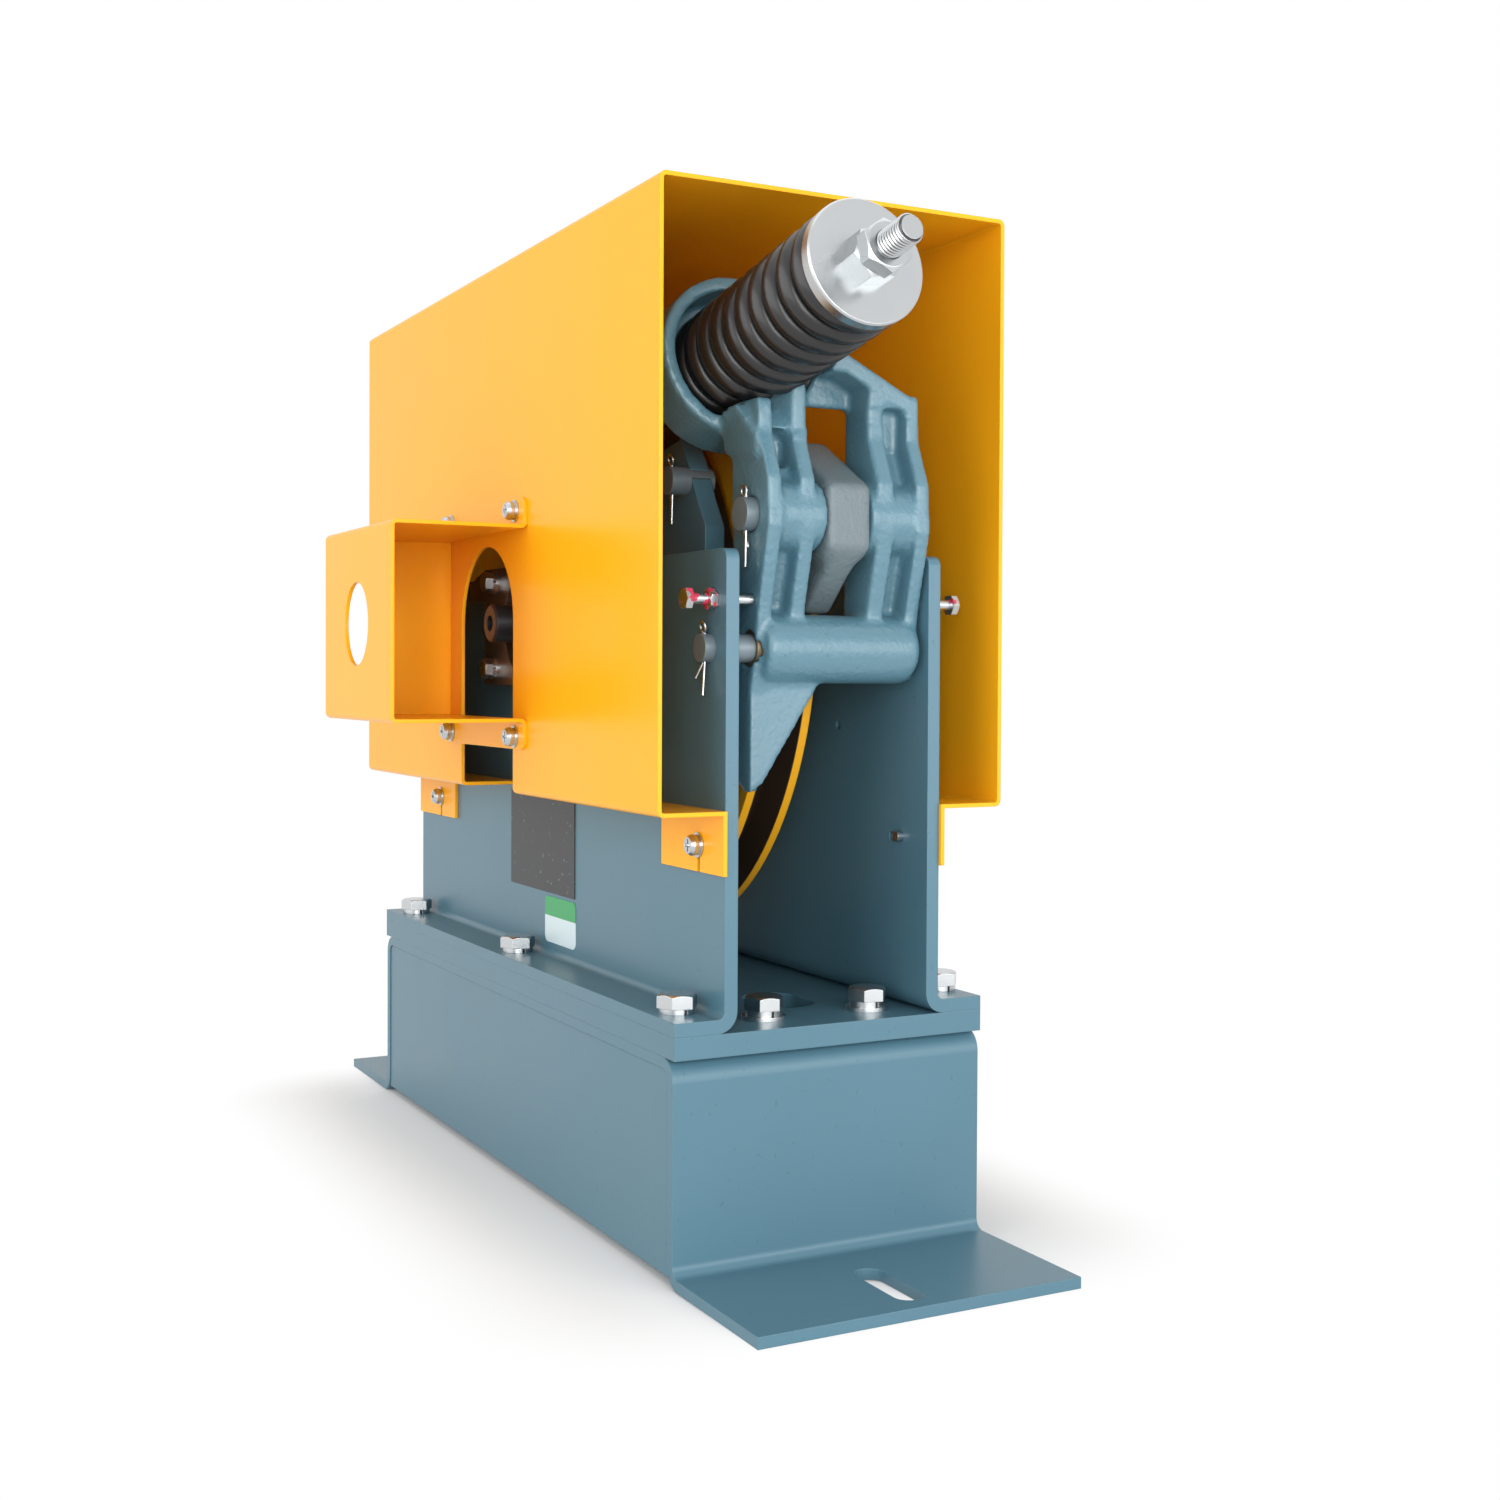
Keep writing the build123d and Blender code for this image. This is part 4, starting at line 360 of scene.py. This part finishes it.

# the sheave's rope groove is coloured dark brown between the painted rims
grooveLook = dict(inner=0.110, half=0.0068, centre=(0, 0.0043, 0.232), colour=(0.035, 0.022, 0.014))
grooveTree = materials["sheave_paint"].node_tree
centre = grooveLook["centre"]
place = addNode(grooveTree, "ShaderNodeTexCoord")
shift = addNode(grooveTree, "ShaderNodeVectorMath", {1: centre}, operation="SUBTRACT")
parts = addNode(grooveTree, "ShaderNodeSeparateXYZ")
across = addNode(grooveTree, "ShaderNodeMath", operation="ABSOLUTE")
between = addNode(grooveTree, "ShaderNodeMath", {1: grooveLook["half"]}, operation="LESS_THAN")
reach = addNode(grooveTree, "ShaderNodeGroup", {"Centre": centre}, node_tree=axisGroup)
outside = addNode(grooveTree, "ShaderNodeMath", {1: grooveLook["inner"]}, operation="GREATER_THAN")
both = addNode(grooveTree, "ShaderNodeMath", operation="MULTIPLY")
wire(
    grooveTree,
    (place, "Object", shift, 0),
    (shift, "Vector", parts, "Vector"),
    (parts, "Y", across, 0),
    (across, "Value", between, 0),
    (reach, "Reach", outside, 0),
    (between, "Value", both, 0),
    (outside, "Value", both, 1),
)
coverColour(grooveTree, grooveLook["colour"], both.outputs[0])

# nodes whose finish isn't the one of their slot
special = {
    "inspection_sticker": "sticker_print",
    "adjusting_screws": "sealed_screw",
    "adjusting_nuts": "sealed_screw",
    "clamp_shoe": "shoe_casting",
    "arm_pivot_pin": "pin_steel",
    "shoe_pin": "pin_steel",
    "lever_pin": "pin_steel",
}
for name, obj in nodes.items():
    for slot in obj.material_slots:
        slot.material = materials[special.get(name, slotOf[name])]
print("materials set")

# The castings. Three blocks fill out the arm: the rise of its left neck, the floor of its right channel
# and the top of its left wall. Then the edges of arm and shoe get the fillets of a sand mould.

armPivot = Vector((0.157, 0.0043, 0.220))
fromAbove = Matrix.Translation(armPivot)
fromLeft = fromAbove @ Matrix(((1, 0, 0), (0, 0, 1), (0, 1, 0))).to_4x4()
armBlocks = {
    "neckRise": dict(
        basis=fromAbove, low=0.076, high=0.094,
        outline=(
            (0.0075, -0.0136), (0.0075, -0.0193), (-0.015, -0.0283), (-0.021, -0.0283), (-0.021, -0.0136),
        ),
    ),
    "rightFloor": dict(
        basis=fromAbove, low=0.074, high=0.092,
        outline=((0.001, 0.018), (0.001, 0.0285), (-0.008, 0.0285), (-0.008, 0.018)),
    ),
    "leftWallTop": dict(
        basis=fromLeft, low=-0.0335, high=-0.0277,
        outline=((-0.011, 0.060), (0.0154, 0.060), (0.0085, 0.076), (0.0078, 0.088), (-0.011, 0.088)),
    ),
}
castLooks = {
    "clamp_arm": dict(voxel=0.001, smooth=6),
    "clamp_shoe": dict(voxel=0.001, smooth=34),
}
smoothStep = 0.5


def makeBlock(name, look):
    bm = bmesh.new()
    corners = [bm.verts.new((*point, look["low"])) for point in look["outline"]]
    grown = bmesh.ops.extrude_face_region(bm, geom=[bm.faces.new(corners)])
    raised = [item for item in grown["geom"] if isinstance(item, bmesh.types.BMVert)]
    bmesh.ops.translate(bm, verts=raised, vec=(0, 0, look["high"] - look["low"]))
    bm.transform(look["basis"])
    bmesh.ops.recalc_face_normals(bm, faces=bm.faces)
    block = bpy.data.objects.new(name, bpy.data.meshes.new(name))
    bm.to_mesh(block.data)
    bm.free()
    return block


for name, look in armBlocks.items():
    joined = nodes["clamp_arm"].modifiers.new(name, "BOOLEAN")
    joined.object = makeBlock(name, look)
    joined.operation = "UNION"
for name, look in castLooks.items():
    mould = nodes[name].modifiers.new("mould", "REMESH")
    mould.mode = "VOXEL"
    mould.voxel_size = look["voxel"]
    mould.use_smooth_shade = True
    fillets = nodes[name].modifiers.new("fillets", "SMOOTH")
    fillets.factor = smoothStep
    fillets.iterations = look["smooth"]
print("castings smoothed")

# Pieces on the rod's line. They are made along +Z and then laid on that line.

rodRise = math.radians(10.8)
ringCentre = Vector((0.1368, -0.022, 0.327))
rodAxis = Vector((math.cos(rodRise), 0, math.sin(rodRise)))
rodUp = Vector((-math.sin(rodRise), 0, math.cos(rodRise)))
rodSide = Vector((0, 1, 0))
rodFrame = Matrix.Translation(ringCentre) @ Matrix((rodSide, rodUp, rodAxis)).transposed().to_4x4()


def placePiece(name, data, material, body, node):
    data.materials.append(materials[material])
    piece = bpy.data.objects.new(name, data)
    bpy.context.scene.collection.objects.link(piece)
    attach(piece, body)
    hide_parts(node)


def newMesh(name, bm, smooth):
    bmesh.ops.recalc_face_normals(bm, faces=bm.faces)
    mesh = bpy.data.meshes.new(name)
    bm.to_mesh(mesh)
    bm.free()
    for face in mesh.polygons:
        face.use_smooth = smooth
    return mesh


def groundFlat(bm, level, outer):
    bmesh.ops.bisect_plane(
        bm,
        geom=bm.verts[:] + bm.edges[:] + bm.faces[:],
        plane_co=(0, 0, level),
        plane_no=(0, 0, 1),
        clear_outer=outer,
        clear_inner=not outer,
    )
    bmesh.ops.holes_fill(bm, edges=bm.edges, sides=0)


def addCone(bm, steps, low, high, lowRadius, highRadius):
    bmesh.ops.create_cone(
        bm,
        cap_ends=True,
        segments=steps,
        radius1=lowRadius,
        radius2=highRadius,
        depth=high - low,
        matrix=Matrix.Translation((0, 0, (low + high) / 2)),
    )


springLook = dict(
    wire=0.0044, radius=0.0174, turns=10, start=-0.016, end=0.085,  # its ends are ground flat
    sides=18, steps=40,
)
standing = Matrix.Rotation(math.pi / 2, 4, "X")
toStart = Matrix.Translation((springLook["radius"], 0, springLook["start"])) @ standing
springSteps = springLook["turns"] * springLook["steps"]
bm = bmesh.new()
bmesh.ops.create_circle(
    bm,
    cap_ends=False,
    segments=springLook["sides"],
    radius=springLook["wire"],
    matrix=toStart,
)
bmesh.ops.spin(
    bm,
    geom=bm.verts[:] + bm.edges[:],
    cent=(0, 0, 0),
    axis=(0, 0, 1),
    dvec=(0, 0, (springLook["end"] - springLook["start"]) / springSteps),
    angle=springLook["turns"] * 2 * math.pi,
    steps=springSteps,
)
bmesh.ops.holes_fill(bm, edges=bm.edges, sides=springLook["sides"])
groundFlat(bm, springLook["end"], True)
groundFlat(bm, springLook["start"], False)
bm.transform(rodFrame)
placePiece("pressureSpring", newMesh("pressureSpring", bm, True), "black_spring", "rod", "main_spring")
print("spring made")

# painted shade lies in the thread's grooves, as a dark band near one radius
grooveShadeLook = dict(middle=0.0042, half=0.0003, colour=(0.10, 0.10, 0.10))
materials["thread"] = materials["zinc"].copy()
materials["thread"].name = "thread"
threadTree = materials["thread"].node_tree
rodLine = {"Centre": ringCentre, "Axis": rodAxis}
reach = addNode(threadTree, "ShaderNodeGroup", rodLine, node_tree=axisGroup)
band = {1: grooveShadeLook["middle"], 2: grooveShadeLook["half"]}
grooveShade = addNode(threadTree, "ShaderNodeMath", band, operation="COMPARE")
wire(threadTree, (reach, "Reach", grooveShade, 0))
coverColour(threadTree, grooveShadeLook["colour"], grooveShade.outputs["Value"])

rodLook = dict(
    radius=0.005, depth=0.0010, pitch=0.0015,
    plainStart=-0.0920, threadStart=0.079, tip=0.1174,
    tipChamfer=0.0008, tipInset=0.0003, steps=48,
)
radius, pitch, steps = rodLook["radius"], rodLook["pitch"], rodLook["steps"]
tip, chamfer = rodLook["tip"], rodLook["tipChamfer"]
tipRadius = radius - rodLook["tipInset"]
turnCount = math.ceil((tip - rodLook["threadStart"]) / pitch) + 1
bm = bmesh.new()
profile = []
for half in range(2 * turnCount + 1):
    out = radius if half % 2 else radius - rodLook["depth"]
    profile.append(bm.verts.new((out, 0, rodLook["threadStart"] - pitch + half * pitch / 2)))
for first, second in zip(profile, profile[1:]):
    bm.edges.new((first, second))
bmesh.ops.spin(
    bm,
    geom=bm.verts[:] + bm.edges[:],
    cent=(0, 0, 0),
    axis=(0, 0, 1),
    dvec=(0, 0, pitch / steps),
    angle=2 * math.pi,
    steps=steps,
)
bmesh.ops.remove_doubles(bm, verts=bm.verts, dist=0.00002)
groundFlat(bm, tip - chamfer, True)
groundFlat(bm, rodLook["threadStart"], False)
addCone(bm, steps, tip - 2 * chamfer, tip, tipRadius, tipRadius - chamfer)
addCone(bm, steps, rodLook["plainStart"], rodLook["threadStart"], radius, radius)
bm.transform(rodFrame)
placePiece("threadedRod", newMesh("threadedRod", bm, False), "thread", "rod", "pull_rod")
print("rod made")

# Split pins, one bent wire each, with two legs under the pin and a leaning loop over it

wireLook = dict(
    radius=0.00055, rounding=3, loopRadius=0.0019, loopRise=0.0022, loopPoints=13, loopFrom=-70, loopTo=250,
)
splitPins = {
    "shoeSplitPin": dict(
        node="shoe_split_pin", body="arm", place=(0.1595, -0.0313, 0.2673), reach=0.0062,
        lean=-0.5, leanAxis="Y", longLeg=(0.0004, -0.0005, -0.0125), shortLeg=(0.0012, 0.0008, -0.0055),
    ),
    "leverSplitPin": dict(
        node="lever_split_pin", body="lever", place=(0.100, -0.0319, 0.2845), reach=0.0057,
        lean=0.2, leanAxis="X", longLeg=(0.0005, -0.0005, -0.011), shortLeg=(-0.0012, 0.0008, -0.006),
    ),
    "leftSplitPin": dict(
        node="pivot_split_pins", body="frame", place=(0.157, -0.0461, 0.220), reach=0.0052,
        lean=0.2, leanAxis="X", longLeg=(0.0010, -0.0012, -0.0115), shortLeg=(-0.002, -0.002, -0.0055),
    ),
    "rightSplitPin": dict(
        node="pivot_split_pins", body="frame", place=(0.157, 0.0461, 0.220), reach=0.0052,
        lean=-0.3, leanAxis="X", longLeg=(0.0010, 0.0025, -0.0105), shortLeg=(0.003, 0.002, -0.0055),
    ),
}


def wirePath(look):
    side = Vector((wireLook["radius"], 0, 0))
    under = Vector((0, 0, -look["reach"]))
    top = Vector((0, 0, look["reach"]))
    longLeg = Vector(look["longLeg"])
    shortLeg = Vector(look["shortLeg"])
    tilt = Matrix.Rotation(look["lean"], 3, look["leanAxis"])
    loopStep = (wireLook["loopTo"] - wireLook["loopFrom"]) / (wireLook["loopPoints"] - 1)
    loop = []
    for count in range(wireLook["loopPoints"]):
        angle = math.radians(wireLook["loopFrom"] + count * loopStep)
        spot = Vector((math.cos(angle), 0, math.sin(angle))) * wireLook["loopRadius"]
        spot.z += wireLook["loopRise"]
        loop.append(top + tilt @ spot)
    return [
        under + side + longLeg,
        under + side + 0.5 * longLeg,
        under + side,
        top + side,
        *loop,
        top - side,
        under - side,
        under - side + shortLeg,
    ]


def bentWire(name, look):
    path = wirePath(look)
    curve = bpy.data.curves.new(name, "CURVE")
    curve.dimensions = "3D"
    curve.bevel_depth = wireLook["radius"]
    curve.bevel_resolution = wireLook["rounding"]
    curve.use_fill_caps = True
    spline = curve.splines.new("POLY")
    spline.points.add(len(path) - 1)
    for point, spot in zip(spline.points, path):
        point.co = (*(Vector(look["place"]) + spot), 1)
    return curve


for name, look in splitPins.items():
    placePiece(name, bentWire(name, look), "zinc", look["body"], look["node"])
print("split pins made")

# Camera, matched to the photograph

cameraLook = dict(
    place=(0.72596, -0.32745, 0.20953),
    azimuth=math.radians(62.226), pitch=math.radians(-0.982), roll=math.radians(0.262),
    sensor=36, lens=43.483, shift=-0.02734, clip=0.01,
)
azimuth, pitch, roll = cameraLook["azimuth"], cameraLook["pitch"], cameraLook["roll"]
level = Vector((-math.sin(azimuth), math.cos(azimuth), 0))
side = Vector((math.cos(azimuth), math.sin(azimuth), 0))
upright = Vector((0, 0, 1))
ahead = math.cos(pitch) * level + math.sin(pitch) * upright
above = -math.sin(pitch) * level + math.cos(pitch) * upright
rightward = math.cos(roll) * side + math.sin(roll) * above
upward = -math.sin(roll) * side + math.cos(roll) * above
cameraTurn = Matrix((rightward, upward, -ahead)).transposed().to_4x4()
cameraData = bpy.data.cameras.new("camera")
cameraData.sensor_width = cameraLook["sensor"]
cameraData.lens = cameraLook["lens"]
cameraData.shift_y = cameraLook["shift"]
cameraData.clip_start = cameraLook["clip"]
camera = bpy.data.objects.new("camera", cameraData)
camera.matrix_world = Matrix.Translation(cameraLook["place"]) @ cameraTurn
bpy.context.scene.collection.objects.link(camera)
bpy.context.scene.camera = camera

# Floor, light and background. Seen directly, both the sky and the floor past the object's shadow are white.

ambient = 0.55
floorLook = dict(
    size=12, drop=0.0005, colour=(0.9, 0.9, 0.9, 1), roughness=0.9,
    shadow=(0.165, 0.075, 0), fade=0.075,
)
white = (1, 1, 1, 1)


def seenDirectly(tree):
    path = addNode(tree, "ShaderNodeLightPath")
    first = addNode(tree, "ShaderNodeMath", operation="MAXIMUM")
    second = addNode(tree, "ShaderNodeMath", operation="MAXIMUM")
    wire(
        tree,
        (path, "Is Camera Ray", first, 0),
        (path, "Is Glossy Ray", first, 1),
        (first, "Value", second, 0),
        (path, "Is Transmission Ray", second, 1),
    )
    return second.outputs[0]


bpy.context.scene.view_settings.view_transform = "Standard"
world = bpy.data.worlds.new("studio")
world.use_nodes = True
bpy.context.scene.world = world
sky = world.node_tree
background = sky.nodes["Background"]
background.inputs["Color"].default_value = white
strength = addNode(sky, "ShaderNodeMapRange", {"To Min": ambient, "To Max": 1.0})
sky.links.new(seenDirectly(sky), strength.inputs["Value"])
wire(sky, (strength, "Result", background, "Strength"))

floorMesh = bpy.data.meshes.new("floor")
bm = bmesh.new()
bmesh.ops.create_grid(bm, x_segments=1, y_segments=1, size=floorLook["size"])
bm.to_mesh(floorMesh)
bm.free()
floor = bpy.data.objects.new("floor", floorMesh)
floor.location.z = -floorLook["drop"]
bpy.context.scene.collection.objects.link(floor)
floorMaterial = bpy.data.materials.new("floorWhite")
floorMaterial.use_nodes = True
floorMesh.materials.append(floorMaterial)
floorTree = floorMaterial.node_tree
floorShader = floorTree.nodes["Principled BSDF"]
floorShader.inputs["Base Color"].default_value = floorLook["colour"]
floorShader.inputs["Roughness"].default_value = floorLook["roughness"]
floorShader.inputs["Specular IOR Level"].default_value = 0.0
floorOutput = floorTree.nodes["Material Output"]
glow = addNode(floorTree, "ShaderNodeEmission", {"Color": white, "Strength": 1.0})
blend = addNode(floorTree, "ShaderNodeMixShader")
place = addNode(floorTree, "ShaderNodeTexCoord")
mirrored = addNode(floorTree, "ShaderNodeVectorMath", operation="ABSOLUTE")
beyond = addNode(floorTree, "ShaderNodeVectorMath", {1: floorLook["shadow"]}, operation="SUBTRACT")
outward = addNode(floorTree, "ShaderNodeVectorMath", {1: (0, 0, 0)}, operation="MAXIMUM")
away = addNode(floorTree, "ShaderNodeVectorMath", operation="LENGTH")
fadeRange = {"From Min": 0.0, "From Max": floorLook["fade"]}
fade = addNode(floorTree, "ShaderNodeMapRange", fadeRange, interpolation_type="SMOOTHSTEP")
shown = addNode(floorTree, "ShaderNodeMath", operation="MULTIPLY")
floorTree.links.new(seenDirectly(floorTree), shown.inputs[1])
wire(
    floorTree,
    (place, "Object", mirrored, 0),
    (mirrored, "Vector", beyond, 0),
    (beyond, "Vector", outward, 0),
    (outward, "Vector", away, 0),
    (away, "Value", fade, "Value"),
    (fade, "Result", shown, 0),
    (shown, "Value", blend, 0),
    (floorShader, "BSDF", blend, 1),
    (glow, "Emission", blend, 2),
    (blend, "Shader", floorOutput, "Surface"),
)

lights = {
    "leftLight": dict(place=(0.1, -1.8, 0.6), target=(0, 0, 0.22), size=(2.4, 1.8), power=22),
    "cameraLight": dict(place=(1.7, -0.45, 0.36), target=(0, 0, 0.2), size=(1.4, 1.1), power=24),
    "frontLight": dict(place=(1.7, 0.7, 0.4), target=(0, 0, 0.2), size=(1.2, 0.8), power=9),
    "topLight": dict(place=(0, 0.2, 2.0), target=(0, 0, 0.2), size=(2.2, 2.2), power=8),
}
for name, look in lights.items():
    lamp = bpy.data.lights.new(name, "AREA")
    lamp.shape = "RECTANGLE"
    lamp.size, lamp.size_y = look["size"]
    lamp.energy = look["power"]
    light = bpy.data.objects.new(name, lamp)
    light.location = look["place"]
    aim = Vector(look["target"]) - Vector(look["place"])
    light.rotation_euler = aim.to_track_quat("-Z", "Y").to_euler()
    bpy.context.scene.collection.objects.link(light)
print("stage set")
